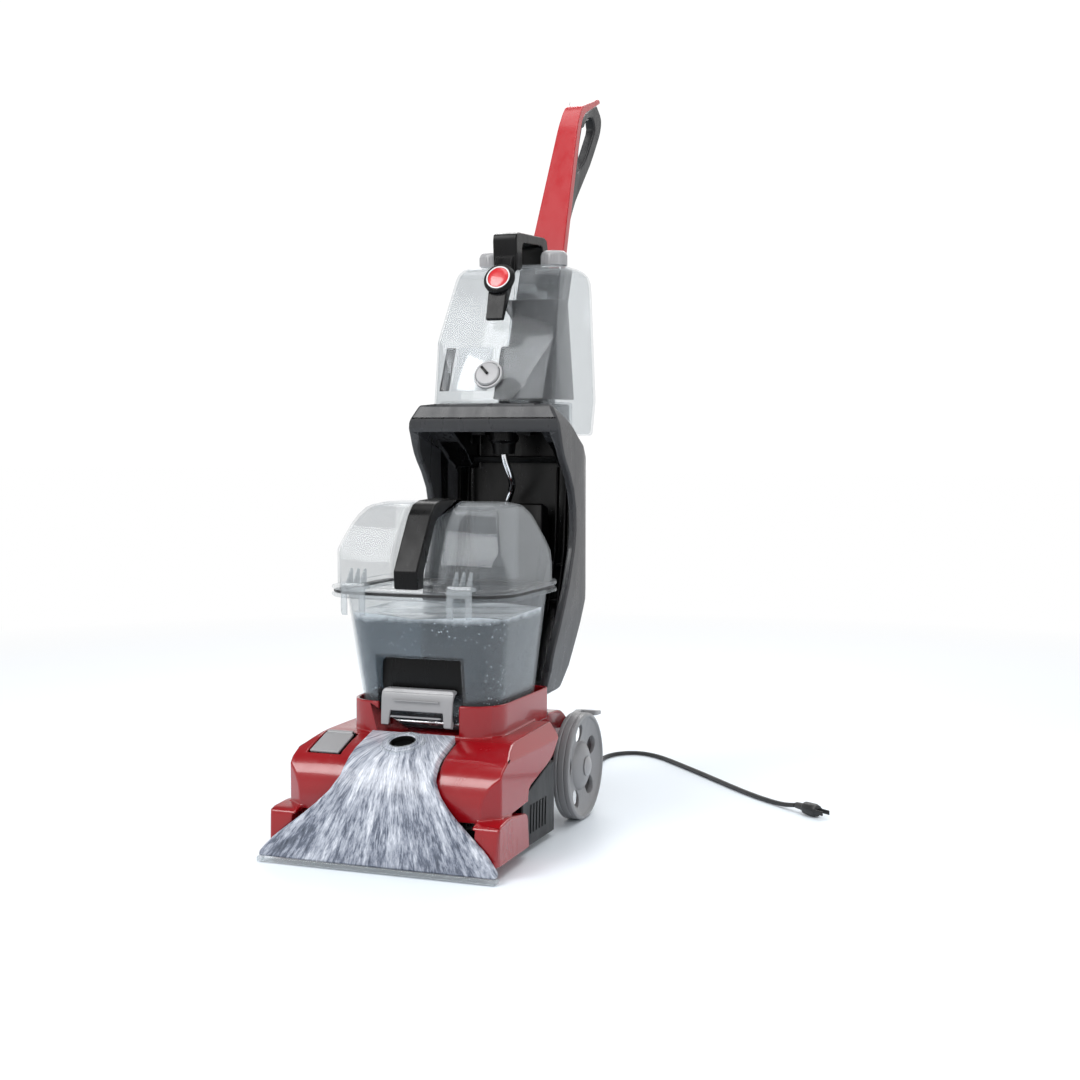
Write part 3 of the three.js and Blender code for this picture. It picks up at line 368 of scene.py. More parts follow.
def deselect():
    if bpy.context.object and bpy.context.object.mode != "OBJECT":
        bpy.ops.object.mode_set(mode="OBJECT")
    bpy.ops.object.select_all(action="DESELECT")


def edit(obj, select="SELECT"):
    deselect()
    obj.select_set(True)
    bpy.context.view_layer.objects.active = obj
    bpy.ops.object.mode_set(mode="EDIT")
    bpy.ops.mesh.select_mode(type="VERT")
    bpy.ops.mesh.select_all(action=select)


def settled():
    bpy.ops.object.mode_set(mode="OBJECT")


def apply_modifier(obj, kind, **settings):
    deselect()
    obj.select_set(True)
    bpy.context.view_layer.objects.active = obj
    modifier = obj.modifiers.new(kind.lower(), kind)
    for key, value in settings.items():
        setattr(modifier, key, value)
    bpy.ops.object.modifier_apply(modifier=modifier.name)


def rounded(points, steps=5):
    """Outline corners with a third number are rounded by about that radius."""
    out = []
    for i, point in enumerate(points):
        here = Vector(point[:2])
        radius = point[2] if len(point) > 2 else 0
        back = Vector(points[i - 1][:2]) - here
        ahead = Vector(points[(i + 1) % len(points)][:2]) - here
        r = min(radius, 0.48 * back.length, 0.48 * ahead.length)
        if r <= 0:
            out.append(tuple(here))
            continue
        start, end = here + back.normalized() * r, here + ahead.normalized() * r
        for k in range(steps + 1):
            t = k / steps
            out.append(tuple((1 - t) ** 2 * start + 2 * t * (1 - t) * here + t * t * end))
    return out


def mirrored(points):
    return list(points) + [(-p[0], *p[1:]) for p in reversed(points) if p[0] != 0]


PLANES = {
    "side": (lambda a, b, c: (c, a, b), Vector((1, 0, 0))),
    "front": (lambda a, b, c: (a, c, b), Vector((0, 1, 0))),
    "plan": (lambda a, b, c: (a, b, c), Vector((0, 0, 1))),
}


def prism(name, points, plane, low, high, steps=5):
    """A flat outline drawn in one plane and extruded from low to high across it."""
    flat = rounded(points, steps)
    spot, along = PLANES[plane]
    deselect()
    bpy.ops.mesh.primitive_circle_add(vertices=len(flat), fill_type="NGON")
    obj = bpy.context.object
    obj.name = name
    for vertex, (a, b) in zip(obj.data.vertices, flat):
        vertex.co = mm(*spot(a, b, low))
    edit(obj)
    bpy.ops.mesh.extrude_region_move(TRANSFORM_OT_translate={"value": along * (high - low) / 1000})
    bpy.ops.mesh.select_all(action="SELECT")
    bpy.ops.mesh.normals_make_consistent(inside=False)
    settled()
    return obj


def turned(name, profile, axis, centre, steps=48):
    """A closed profile of (along, radius) points spun about an axis through centre."""
    way = {"x": Vector((1, 0, 0)), "y": Vector((0, 1, 0)), "z": Vector((0, 0, 1))}[axis]
    out = Vector((0, 0, 1)) if axis != "z" else Vector((1, 0, 0))
    middle = mm(*centre)
    deselect()
    bpy.ops.mesh.primitive_circle_add(vertices=len(profile), fill_type="NOTHING")
    obj = bpy.context.object
    obj.name = name
    for vertex, (along, radius) in zip(obj.data.vertices, profile):
        vertex.co = middle + way * along / 1000 + out * radius / 1000
    edit(obj)
    bpy.ops.mesh.spin(steps=steps, angle=math.tau, center=middle, axis=way)
    bpy.ops.mesh.select_all(action="SELECT")
    bpy.ops.mesh.remove_doubles(threshold=0.000005)
    bpy.ops.mesh.dissolve_degenerate(threshold=0.000004)
    bpy.ops.mesh.select_all(action="SELECT")
    bpy.ops.mesh.normals_make_consistent(inside=False)
    settled()
    return obj


def bar(name, x0, x1, y0, y1, z0, z1):
    deselect()
    bpy.ops.mesh.primitive_cube_add(size=1)
    obj = bpy.context.object
    obj.name = name
    low, high = mm(x0, y0, z0), mm(x1, y1, z1)
    for vertex in obj.data.vertices:
        vertex.co = Vector([high[i] if vertex.co[i] > 0 else low[i] for i in range(3)])
    return obj


def rod(name, start, end, radius, sides=24):
    """A round bar between two design points."""
    a, b = mm(*start), mm(*end)
    deselect()
    bpy.ops.mesh.primitive_cylinder_add(vertices=sides, radius=radius / 1000, depth=(b - a).length)
    obj = bpy.context.object
    obj.name = name
    turn = (b - a).to_track_quat("Z", "Y").to_matrix().to_4x4()
    obj.data.transform(Matrix.Translation((a + b) / 2) @ turn)
    return obj


def cut(obj, *cutters):
    for cutter in cutters:
        apply_modifier(obj, "BOOLEAN", operation="DIFFERENCE", solver="EXACT", object=cutter)
        bpy.data.objects.remove(cutter, do_unlink=True)
    return obj


def keep_common(obj, *others):
    for other in others:
        apply_modifier(obj, "BOOLEAN", operation="INTERSECT", solver="EXACT", object=other)
        bpy.data.objects.remove(other, do_unlink=True)
    return obj


def joined(name, *parts):
    deselect()
    for part in parts:
        part.select_set(True)
    bpy.context.view_layer.objects.active = parts[0]
    if len(parts) > 1:
        bpy.ops.object.join()
    parts[0].name = name
    return parts[0]


def soften(obj, width, segments=3, sharp=32, keep=None):
    """Rounds the sharp edges by width mm, less where the faces beside them are narrow."""
    mesh = obj.data
    bm = bmesh.new()
    bm.from_mesh(mesh)
    layer = bm.edges.layers.float.get("bevel_weight_edge") or bm.edges.layers.float.new("bevel_weight_edge")
    reach = width / 1000
    for edge in bm.edges:
        weight = 0.0
        if len(edge.link_faces) == 2 and edge.calc_length() > 0.0006:
            if abs(edge.calc_face_angle_signed(0)) > math.radians(sharp):
                if keep is None or keep((edge.verts[0].co + edge.verts[1].co) / 2):
                    a, b = edge.verts[0].co, edge.verts[1].co
                    way = (b - a).normalized()
                    room = min(
                        max(((v.co - a) - way * (v.co - a).dot(way)).length for v in face.verts)
                        for face in edge.link_faces
                    )
                    weight = min(1.0, 0.4 * room / reach)
        edge[layer] = weight
    bm.to_mesh(mesh)
    bm.free()
    apply_modifier(
        obj, "BEVEL", width=reach, segments=segments, limit_method="WEIGHT", use_clamp_overlap=False, loop_slide=True
    )
    return obj


def smooth(obj, degrees=38):
    deselect()
    obj.select_set(True)
    bpy.context.view_layer.objects.active = obj
    bpy.ops.object.shade_smooth_by_angle(angle=math.radians(degrees))
    return obj


def dress(obj, look, body, slot, *nodes, degrees=38):
    """Shades the piece, gives it its finish, ties it to its body and hides the CAD nodes it stands for."""
    smooth(obj, degrees)
    obj.data.materials.clear()
    obj.data.materials.append(LOOKS[look])
    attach(obj, body)
    if nodes:
        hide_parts(*nodes)
    return obj


def traced(node, name=None):
    """A clean copy of a CAD node's shape, its flat faces whole again."""
    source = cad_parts[node]
    deselect()
    obj = source.copy()
    obj.data = source.data.copy()
    obj.parent = None
    obj.matrix_world = Matrix.Identity(4)
    obj.name = name or f"{node}_moulding"
    bpy.context.scene.collection.objects.link(obj)
    edit(obj)
    bpy.ops.mesh.remove_doubles(threshold=0.00002)
    bpy.ops.mesh.select_all(action="SELECT")
    bpy.ops.mesh.dissolve_limited(angle_limit=math.radians(1.5))
    settled()
    return obj


def moulding(node, look, body, slot, width, segments=3, sharp=32, degrees=38, keep=None):
    obj = traced(node)
    if width:
        soften(obj, width, segments, sharp, keep)
    dress(obj, look, body, slot, node, degrees=degrees)
    if width and look != "window":
        apply_modifier(obj, "WEIGHTED_NORMAL", keep_sharp=True)
    return obj


def sweep(name, points, radius, resolution=6, sides=12):
    """A round tube along design points."""
    deselect()
    bpy.ops.curve.primitive_nurbs_path_add()
    obj = bpy.context.object
    obj.name = name
    spline = obj.data.splines[0]
    spline.points.add(max(0, len(points) - len(spline.points)))
    while len(spline.points) > len(points):
        raise ValueError(f"{name} needs at least {len(spline.points)} points")
    for point, where in zip(spline.points, points):
        point.co = (*mm(*where), 1)
    spline.use_endpoint_u = True
    spline.order_u = 4
    spline.resolution_u = resolution
    obj.data.bevel_depth = radius / 1000
    obj.data.bevel_resolution = max(1, sides // 4 - 1)
    obj.data.use_fill_caps = True
    obj.data.dimensions = "3D"
    return obj


def as_mesh(obj):
    deselect()
    obj.select_set(True)
    bpy.context.view_layer.objects.active = obj
    bpy.ops.object.convert(target="MESH")
    return bpy.context.object


# ------------------------------------------------------------------ stage
class WASHER_OT_stage(bpy.types.Operator):
    """Floor, lights, backdrop light and camera"""

    bl_idname = "washer.stage"
    bl_label = "Stage"

    def execute(self, context):
        s = context.scene.washer
        make_looks(s)
        deselect()
        bpy.ops.object.camera_add(
            location=(0.91495, -2.06504 - MIDDLE_Y / 1000, 0.55344),
            rotation=(math.radians(90 - 3.79), 0, math.radians(20.83)),
        )
        camera = bpy.context.object
        camera.data.lens = 54.65
        camera.data.sensor_width = 36
        bpy.context.scene.camera = camera
        bpy.ops.mesh.primitive_plane_add(size=40)
        floor = bpy.context.object
        floor.name = "studio_floor"
        floor.data.materials.append(studio_floor("studio_floor", s.floor))
        bpy.context.scene.view_settings.view_transform = "Standard"
        self.surroundings()
        self.panel("key", (-1.3, -2.1, 2.5), 1.5, 1.5, 62)
        self.panel("side", (2.3, -0.9, 1.3), 0.7, 2.0, 12)
        self.panel("rim", (-0.4, 2.2, 2.2), 2.2, 0.9, 30)
        self.panel("top", (0.2, 0.1, 3.1), 2.4, 2.4, 58)
        return {"FINISHED"}

    def surroundings(self):
        """White round the horizon and dimmer overhead, as in a shooting tent."""
        world = bpy.data.worlds.new("shooting_tent")
        bpy.context.scene.world = world
        world.use_nodes = True
        tree = world.node_tree
        glow = tree.nodes["Background"]
        where = tree.nodes.new("ShaderNodeTexCoord")
        split = tree.nodes.new("ShaderNodeSeparateXYZ")
        fade = tree.nodes.new("ShaderNodeMapRange")
        for name, value in {"From Min": 0.30, "From Max": 0.62, "To Min": 1.04, "To Max": 0.22}.items():
            fade.inputs[name].default_value = value
        tree.links.new(where.outputs["Generated"], split.inputs[0])
        tree.links.new(split.outputs["Z"], fade.inputs["Value"])
        tree.links.new(fade.outputs[0], glow.inputs["Strength"])
        glow.inputs["Color"].default_value = (1, 1, 1, 1)

    def panel(self, name, where, width, height, power):
        aim = Vector((0, 0, 0.5)) - Vector(where)
        bpy.ops.object.light_add(type="AREA", location=where, rotation=aim.to_track_quat("-Z", "Y").to_euler())
        light = bpy.context.object
        light.name = f"{name}_softbox"
        light.data.shape = "RECTANGLE"
        light.data.size = width
        light.data.size_y = height
        light.data.energy = power


# ------------------------------------------------------------------ cord
EXIT = (30, 216, 66)
COIL = (-6, 325)
COIL_ROWS = ((25.0, 70.6, 41.6, 4), (17.9, 41.6, 70.6, 4), (10.8, 70.6, 41.6, 4), (3.9, 41.6, 70.6, 3))
LEAD = ((30, 216, 66), (30.3, 226, 66), (31.5, 237, 63.5), (34, 248, 57.5), (38, 258, 48.5), (43, 267, 40))
LEAD_JOIN = ((49, 276, 33.5), (55, 288, 29.5), (60, 303, 27), (62, 315, 25.6))
RUN = (
    (62.5, 346, 3.9), (62.5, 358, 3.9), (62.5, 385, 3.9), (61, 420, 3.9), (55, 458, 3.9),
    (46, 495, 3.9), (41, 531, 3.9),
    (46, 563, 3.9), (64, 587, 3.9), (92, 595, 3.9), (130, 573, 3.9), (175, 525, 3.9),
    (226, 471, 3.9), (282, 408, 3.9),
    (334, 350, 3.9), (376, 312, 3.9), (402, 291, 4.6), (415, 280.5, 7.4), (423.6, 273.8, 9.6),
)


def coil_points(per_turn=14):
    """Rows of turns wound in and out, from the top row down to the floor."""
    points = []
    turn = 0.0
    for row, (z, r_from, r_to, turns) in enumerate(COIL_ROWS):
        last = row == len(COIL_ROWS) - 1
        count = turns * per_turn + (1 if last else 0)
        z_next = z if last else COIL_ROWS[row + 1][0]
        for k in range(count):
            t = k / (turns * per_turn)
            drop = max(0.0, min(1.0, (t * turns - (turns - 0.7)) / 0.7))
            drop = drop * drop * (3 - 2 * drop)
            radius = r_from + (r_to - r_from) * t
            angle = math.tau * (turn + t * turns)
            level = z + (z_next - z) * drop
            points.append((COIL[0] + radius * math.cos(angle), COIL[1] + radius * math.sin(angle), level))
        turn += turns
    return points


class WASHER_OT_cord(bpy.types.Operator):
    """Mains cord from its strain relief to the plug, with its coil"""

    bl_idname = "washer.cord"
    bl_label = "Mains cord"

    def execute(self, context):
        route = [*LEAD, *LEAD_JOIN, *coil_points(), *RUN]
        cord = sweep("mains_cord", route, 3.5, resolution=4, sides=12)
        cord.data.materials.append(LOOKS["cord"])
        plug = self.plug()
        relief = self.relief()
        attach(cord, BASE)
        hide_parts("cord_lead", "cord_coil", "cord_run")
        tuple(mm(*EXIT))
        return {"FINISHED"}

    def plug(self):
        parts = [traced("cord_plug", "plug_body")]
        soften(parts[0], 0.5, 2)
        plug = joined("mains_plug", *parts)
        return dress(plug, "cord", BASE, "rubber", "cord_plug")

    def relief(self):
        """A tapered sleeve with rings round it."""
        profile = [(-14, 0), (-14, 9), (-5, 9), (-5, 5.8), (0.6, 5.8), (0.6, 8), (6, 7)]
        for i in range(7):
            start = 8 + i * 3.6
            taper = 6.8 - (start - 6) * 0.085
            groove = taper - 0.9
            profile += [(start, taper), (start + 0.5, groove), (start + 1.5, groove), (start + 2, taper - 0.1)]
        profile += [(34, 4.5), (34, 0)]
        relief = turned("cord_relief", profile, "y", (30, 182, 66), 28)
        return dress(relief, "rubber", BASE, "rubber", "strain_relief", degrees=30)


# ------------------------------------------------------------------ base
class WASHER_OT_base(bpy.types.Operator):
    """Red cover, chassis, lever, pedals, port door and running gear of the base"""

    bl_idname = "washer.base"
    bl_label = "Base"

    def execute(self, context):
        moulding("base_cover", "red", BASE, "red_shell", 2.4, 3, sharp=30, degrees=40)
        moulding("chassis", "chassis", BASE, "charcoal", 2.5, 3)
        moulding("hose_port_well", "black", BASE, "black_plastic", 0.8, 2)
        moulding("hose_port_door", "silver", "port_door", "silver_plastic", 1.2, 3)
        moulding("tank_release_lever", "silver", "tank_lever", "silver_plastic", 1.4, 3)
        moulding("power_pedal", "silver", "power_switch", "silver_plastic", 1.4, 3)
        moulding("handle_release_pedal", "silver", "recline_release", "silver_plastic", 1.4, 3)
        for node in ("lever_pin", "power_pedal_pin", "handle_release_pedal_pin", "column_pivot", "axle"):
            moulding(node, "steel", BASE, "steel", 0.3, 2)
        moulding("lever_spring", "steel", BASE, "steel", 0)
        moulding("pivot_bracket", "charcoal", BASE, "charcoal", 1.0, 2)
        moulding("motor_housing", "steel", BASE, "steel", 1.0, 2)
        moulding("motor_rotor", "steel", "motor", "steel", 0.3, 2)
        moulding("drive_belt", "rubber", BASE, "rubber", 0)
        moulding("brush_block", "black", BASE, "black_plastic", 1.0, 2)
        names = ("one", "two", "three", "four", "five")
        for i, word in enumerate(names):
            moulding(f"brush_{i + 1}", "bristle", f"brush_{word}", "brush_blue", 0.4, 2)
        self.lever_detail()
        self.vents()
        return {"FINISHED"}

    def lever_detail(self):
        """Two grip bars on the lever's face."""
        parts = [
            prism("lever_bar", mirrored([(33, 197.5, 1), (33, 199, 1)]), "front", -122.1, -119.4),
            prism("lever_bar_low", mirrored([(36, 176, 1), (36, 178, 1)]), "front", -123.6, -120.8),
        ]
        detail = joined("lever_ridges", *[soften(p, 0.4, 2) for p in parts])
        dress(detail, "silver", "tank_lever", "silver_plastic")

    def vents(self):
        """Slots of air vents on both flanks of the chassis."""
        for side, s in (("left", -1), ("right", 1)):
            parts = []
            for i in range(6):
                y = -78 + i * 11
                low, high = sorted((s * 144.6, s * 146.0))
                slot = [(y, 24, 2), (y + 4, 24, 2), (y + 7, 62, 2), (y + 3, 62, 2)]
                parts.append(prism(f"vent_{side}_{i}", slot, "side", low, high))
            dress(joined(f"flank_vents_{side}", *parts), "black", BASE, "black_plastic")


class WASHER_OT_wheels(bpy.types.Operator):
    """Two dished wheels with oval openings and a bright hub"""

    bl_idname = "washer.wheels"
    bl_label = "Wheels"

    def execute(self, context):
        for side, sign in (("right", 1), ("left", -1)):
            self.wheel(side, sign)
            self.cap(side, sign)
        return {"FINISHED"}

    def wheel(self, side, sign):
        w = 25
        profile = [
            (0, 5.6), (-w, 5.6), (-w, 11), (-12, 15), (-13, 30), (-13, 61), (-w + 1, 63),
            (-w, 64.5), (-w, 73.6), (-w + 0.7, 75.1),
            (-w + 2.2, 75.9), (-19, 76), (-18.6, 75.3), (-17.6, 75.3), (-17.2, 76), (-9, 76),
            (-8.6, 75.3), (-7.6, 75.3), (-7.2, 76),
            (-3.4, 76), (-1.4, 75.4), (-0.4, 74), (0, 72.2), (-0.3, 70.8), (-1.4, 69.9),
            (-3.4, 69.2), (-5.2, 65), (-7.0, 58), (-8.6, 49),
            (-9.8, 40), (-10.1, 36.6), (-9.4, 35), (-7.4, 33.8), (-5.0, 31), (-3.0, 27), (-1.4, 22),
            (-0.4, 17.5), (0, 15),
        ]
        profile = [(sign * a, r) for a, r in profile]
        centre = (sign * WHEEL[0], *WHEEL[1:])
        wheel = turned(f"{side}_wheel", profile, "x", centre, 72)
        for k in range(5):
            angle = math.radians(28 + 72 * k)
            hole = self.opening(f"hole_{k}", sign, angle)
            cut(wheel, hole)
        soften(wheel, 0.9, 3, sharp=40)
        dress(wheel, "wheel", f"{side}_wheel", "silver_plastic", f"wheel_{side}", degrees=30)

    def opening(self, name, sign, angle):
        """An oval hole through the dished face, wide across the spokes."""
        deselect()
        bpy.ops.mesh.primitive_cylinder_add(vertices=40, radius=0.0124, depth=0.05)
        obj = bpy.context.object
        obj.name = name
        turn = Matrix.Rotation(angle, 4, "X")
        lie = Matrix.Rotation(math.pi / 2, 4, "Y")
        stretch = Matrix.Diagonal((1, 1.08, 1, 1))
        spoke = 48.5
        where = mm(sign * 145, WHEEL[1] + spoke * math.cos(angle), WHEEL[2] + spoke * math.sin(angle))
        obj.data.transform(Matrix.Translation(where) @ turn @ Matrix.Rotation(math.pi / 2, 4, "X") @ lie @ stretch)
        return obj

    def cap(self, side, sign):
        profile = [(0.4, 0), (0.4, 13.6), (1.0, 14), (2.0, 13.8), (3.4, 12), (4.6, 9), (5.5, 5), (5.9, 0)]
        cap = turned(f"{side}_hub_cap", [(sign * a, r) for a, r in profile], "x", (sign * WHEEL[0], *WHEEL[1:]), 36)
        dress(cap, "silver", f"{side}_wheel", "steel", f"wheel_cap_{side}")


class WASHER_OT_nozzle(bpy.types.Operator):
    """Suction nozzle window, its port ring and the lip along the floor"""

    bl_idname = "washer.nozzle"
    bl_label = "Nozzle"

    def execute(self, context):
        moulding("nozzle_window", "window", "nozzle", "clear_plastic", 2.2, 3, sharp=24, degrees=50)
        moulding("nozzle_lip", "thick_clear", "nozzle", "silver_plastic", 0.9, 2)
        lean = Matrix.Translation(mm(0, -160, 148.6)) @ Matrix.Rotation(PORT_TILT, 4, "X")
        rings = []
        for r, z in ((27.4, 2.4), (19.2, 5.0)):
            deselect()
            bpy.ops.mesh.primitive_torus_add(
                major_radius=r / 1000, minor_radius=0.0013, major_segments=64, minor_segments=10,
                location=(0, 0, z / 1000),
            )
            ring = bpy.context.object
            bpy.ops.object.transform_apply(location=True)
            ring.data.transform(lean)
            rings.append(ring)
        dress(joined("port_rings", *rings), "thick_clear", "nozzle", "clear_plastic")
        # a near-black cup closing the port's bore: painted shade where the duct runs on inside
        throat = turned(
            "port_throat", [(-4, 0), (-4, 16.6), (3.6, 16.6), (3.6, 15), (-2, 14), (-3, 0)], "z", (0, MIDDLE_Y, 0), 48,
        )
        throat.data.transform(lean)
        dress(throat, "cavity", "nozzle", "black_plastic")
        return {"FINISHED"}


# ------------------------------------------------------------------ recovery tank
BUCKET_PLAN = mirrored([(0, -132), (92, -126, 26), (122, -94, 24), (122, 60, 12), (104, 78, 8), (0, 78)])


def shrunk(points, inset):
    return [(x - math.copysign(inset, x) if x else 0, y + (inset if y < 0 else -inset), *r) for x, y, *r in points]


def tapered(name, plan, z0, z1, foot, about_y, steps=5):
    """A plan outline raised from z0 to z1, with its foot drawn in towards x = 0 and y = about_y."""
    obj = prism(name, plan, "plan", z0, z1, steps)
    for vertex in obj.data.vertices:
        t = (z1 / 1000 - vertex.co.z) / ((z1 - z0) / 1000)
        vertex.co.x *= 1 + (foot[0] - 1) * t
        pivot = (about_y - MIDDLE_Y) / 1000
        vertex.co.y = pivot + (vertex.co.y - pivot) * (1 + (foot[1] - 1) * t)
    return obj


class WASHER_OT_recovery(bpy.types.Operator):
    """Recovery tank with its lid, strap handle, clips, float and used water"""

    bl_idname = "washer.recovery"
    bl_label = "Recovery tank"

    def execute(self, context):
        s = context.scene.washer
        moulding("recovery_bucket", "clear", TANK, "clear_plastic", 1.6, 3, degrees=45)
        moulding("air_standpipe", "thick_clear", TANK, "clear_plastic", 0.6, 2)
        moulding("float", "silver", "tank_float", "black_plastic", 1.0, 2)
        moulding("lid_gasket", "rubber", LID, "rubber", 0.6, 2)
        moulding("recovery_lid", "lid_clear", LID, "clear_plastic", 3, 4, degrees=50)
        moulding("lid_handle", "black", LID, "black_plastic", 2.2, 4, degrees=45)
        for side in ("left", "right"):
            moulding(f"lid_clip_{side}", "thick_clear", LID, "clear_plastic", 0.6, 2)
        self.water(s)
        self.inner_duct()
        pocket = prism("finger_pocket", mirrored([(59, 205, 9), (59, 252, 9)]), "front", -99, -97)
        dress(soften(pocket, 0.6, 2), "black", TANK, "black_plastic")
        return {"FINISHED"}

    def water(self, s):
        top = s.water_top * 1000
        body = tapered("used_water", shrunk(BUCKET_PLAN, 3.4), 161.4, 358, (0.8, 0.83), 24)
        cut(body, bar("above", -200, 200, -200, 200, top, 400))
        pocket = [(-170, 100), (-170, 257.4), (-92, 257.4, 10), (-84, 100)]
        cut(body, prism("pocket", pocket, "side", -64.5, 64.5))
        pipe = rod("pipe", (0, 18, 150), (0, 18, 400), 18.2, 32)
        cut(body, pipe, rod("pipe_foot", (0, 18, 150), (0, 18, 167), 26, 32))
        cut(body, rod("float_room", (0, 18, 167), (0, 18, 188), 29, 32))
        edit(body, "DESELECT")
        bpy.ops.mesh.select_mode(type="FACE")
        settled()
        for face in body.data.polygons:
            face.select = face.normal.z > 0.9 and face.center.z > s.water_top - 0.001
        bpy.ops.object.mode_set(mode="EDIT")
        bpy.ops.mesh.inset(thickness=0.004)
        bpy.ops.mesh.quads_convert_to_tris()
        bpy.ops.mesh.subdivide(number_cuts=5)
        settled()
        draw = random.Random(4)
        crests = [(draw.uniform(40, 90), draw.uniform(0, math.tau), draw.uniform(0, math.tau)) for _ in range(7)]
        for vertex in body.data.vertices:
            if vertex.co.z > s.water_top - 0.0002:
                wave = sum(
                    math.sin(k * (vertex.co.x * math.cos(a) + vertex.co.y * math.sin(a)) + p) for k, a, p in crests
                )
                vertex.co.z += 0.0007 * wave - 0.002
        dress(body, "water", TANK, "clear_plastic", degrees=60)

    def inner_duct(self):
        """The lid's inner air duct, from its crown down to the standpipe."""
        outer = [(-30, 430, 8), (-30, 452), (38, 452, 10), (38, 352), (-2, 352)]
        left = prism("duct", outer, "side", 40, 84)
        cut(left, prism("duct_in", [(-27, 429, 8), (-27, 449), (35, 449, 10), (35, 340), (1, 340)], "side", 42, 82))
        soften(left, 1.2, 2)
        dress(left, "clear", LID, "clear_plastic")


# ------------------------------------------------------------------ column
def paint_bay_shade(shell):
    """Marks the column's faces that look at another wall of its bay, and the bay's back wall, for a near-black painted
    shade.
    """
    mesh = shell.data
    inside = mesh.attributes.new("inner_wall", "FLOAT", "FACE")
    look_up = BVHTree.FromPolygons([v.co for v in mesh.vertices], [p.vertices for p in mesh.polygons])
    for face in mesh.polygons:
        x, y, z = face.center.x * 1000, face.center.y * 1000 + MIDDLE_Y, face.center.z * 1000
        if not (186 < z < 592 and abs(x) < 108 and y < 263):
            continue
        start = face.center + face.normal * 0.0005
        # a face that looks at another wall close by sits in shade
        facing_wall = look_up.ray_cast(start, face.normal, 0.32)[0] is not None
        back_wall = face.normal.y < -0.4 and abs(x) < 99 and y > 165
        inside.data[face.index].value = 1.0 if facing_wall or back_wall else 0.0
    return shell


class WASHER_OT_column(bpy.types.Operator):
    """Reclining column with its open bay, spine, handle and hooks"""

    bl_idname = "washer.column"
    bl_label = "Column and handle"

    def execute(self, context):
        # the column's bay faces get a near-black painted shade
        paint_bay_shade(moulding("column_shell", "shell", COLUMN, "charcoal", 4, 4, sharp=26, degrees=50))
        # the bay's duct takes the near-black painted shade
        moulding("bay_duct", "cavity", COLUMN, "black_plastic", 3, 3, degrees=50)
        moulding("tank_seat_valve", "black", COLUMN, "black_plastic", 0.8, 2)
        moulding("handle_spine", "charcoal", COLUMN, "charcoal", 3, 4)
        moulding("handle_shell", "handle_red", COLUMN, "red_shell", 2, 3, degrees=40)
        moulding("handle_grip", "grip", COLUMN, "charcoal", 4, 4, degrees=50)
        moulding("trigger", "black", "trigger_lever", "black_plastic", 1.2, 3)
        moulding("cord_hook_upper", "black", "upper_hook", "black_plastic", 1.5, 3)
        moulding("cord_hook_lower", "black", COLUMN, "black_plastic", 1.5, 3)
        tube = as_mesh(sweep("bright_solution_tube", self.tube_route(), 5.4, 10, 20))
        dress(tube, "chrome", COLUMN, "clear_plastic", "solution_tube")
        self.bay_ribs()
        return {"FINISHED"}

    def tube_route(self):
        upper = [(0, 190, 519.6), (1, 191, 510), (4, 195, 498), (6, 206, 482)]
        return [*upper, (3, 217, 470), (-4, 224, 460), (-8, 226, 449.5)]

    def bay_ribs(self):
        """Upright ribs, a ledge and small clips inside the bay."""
        parts = []
        for x in (-92, -78, 66, 80, 94):
            shape = [(196, 285), (204, 285), (240, 372), (247, 500), (239, 500), (228, 376)]
            parts.append(soften(prism("rib", shape, "side", x - 1.4, x + 1.4), 0.6, 2))
        ledge = [(236, 506), (251, 506), (252, 516), (232, 516, 3)]
        parts.append(soften(prism("ledge", ledge, "side", -100, 100), 1.0, 2))
        for x in (-84, -70, 70, 84):
            parts.append(soften(bar("clip", x - 4, x + 4, 226, 251, 534, 548), 1.0, 2))
        for z in (300, 352):
            y = 205 if z == 300 else 226
            parts.append(soften(bar("shelf", 62, 100, y, y + 12, z, z + 5), 0.8, 2))
        for x in (-36, 36):
            wing = [(176, 548), (204, 548, 3), (204, 565), (176, 565)]
            parts.append(soften(prism("wing", wing, "side", x - 11, x + 11), 1.2, 2))
        # the ribs, ledge, clips, shelves and wings take the near-black painted shade of the bay
        dress(joined("bay_ribs", *parts), "cavity", COLUMN, "black_plastic")


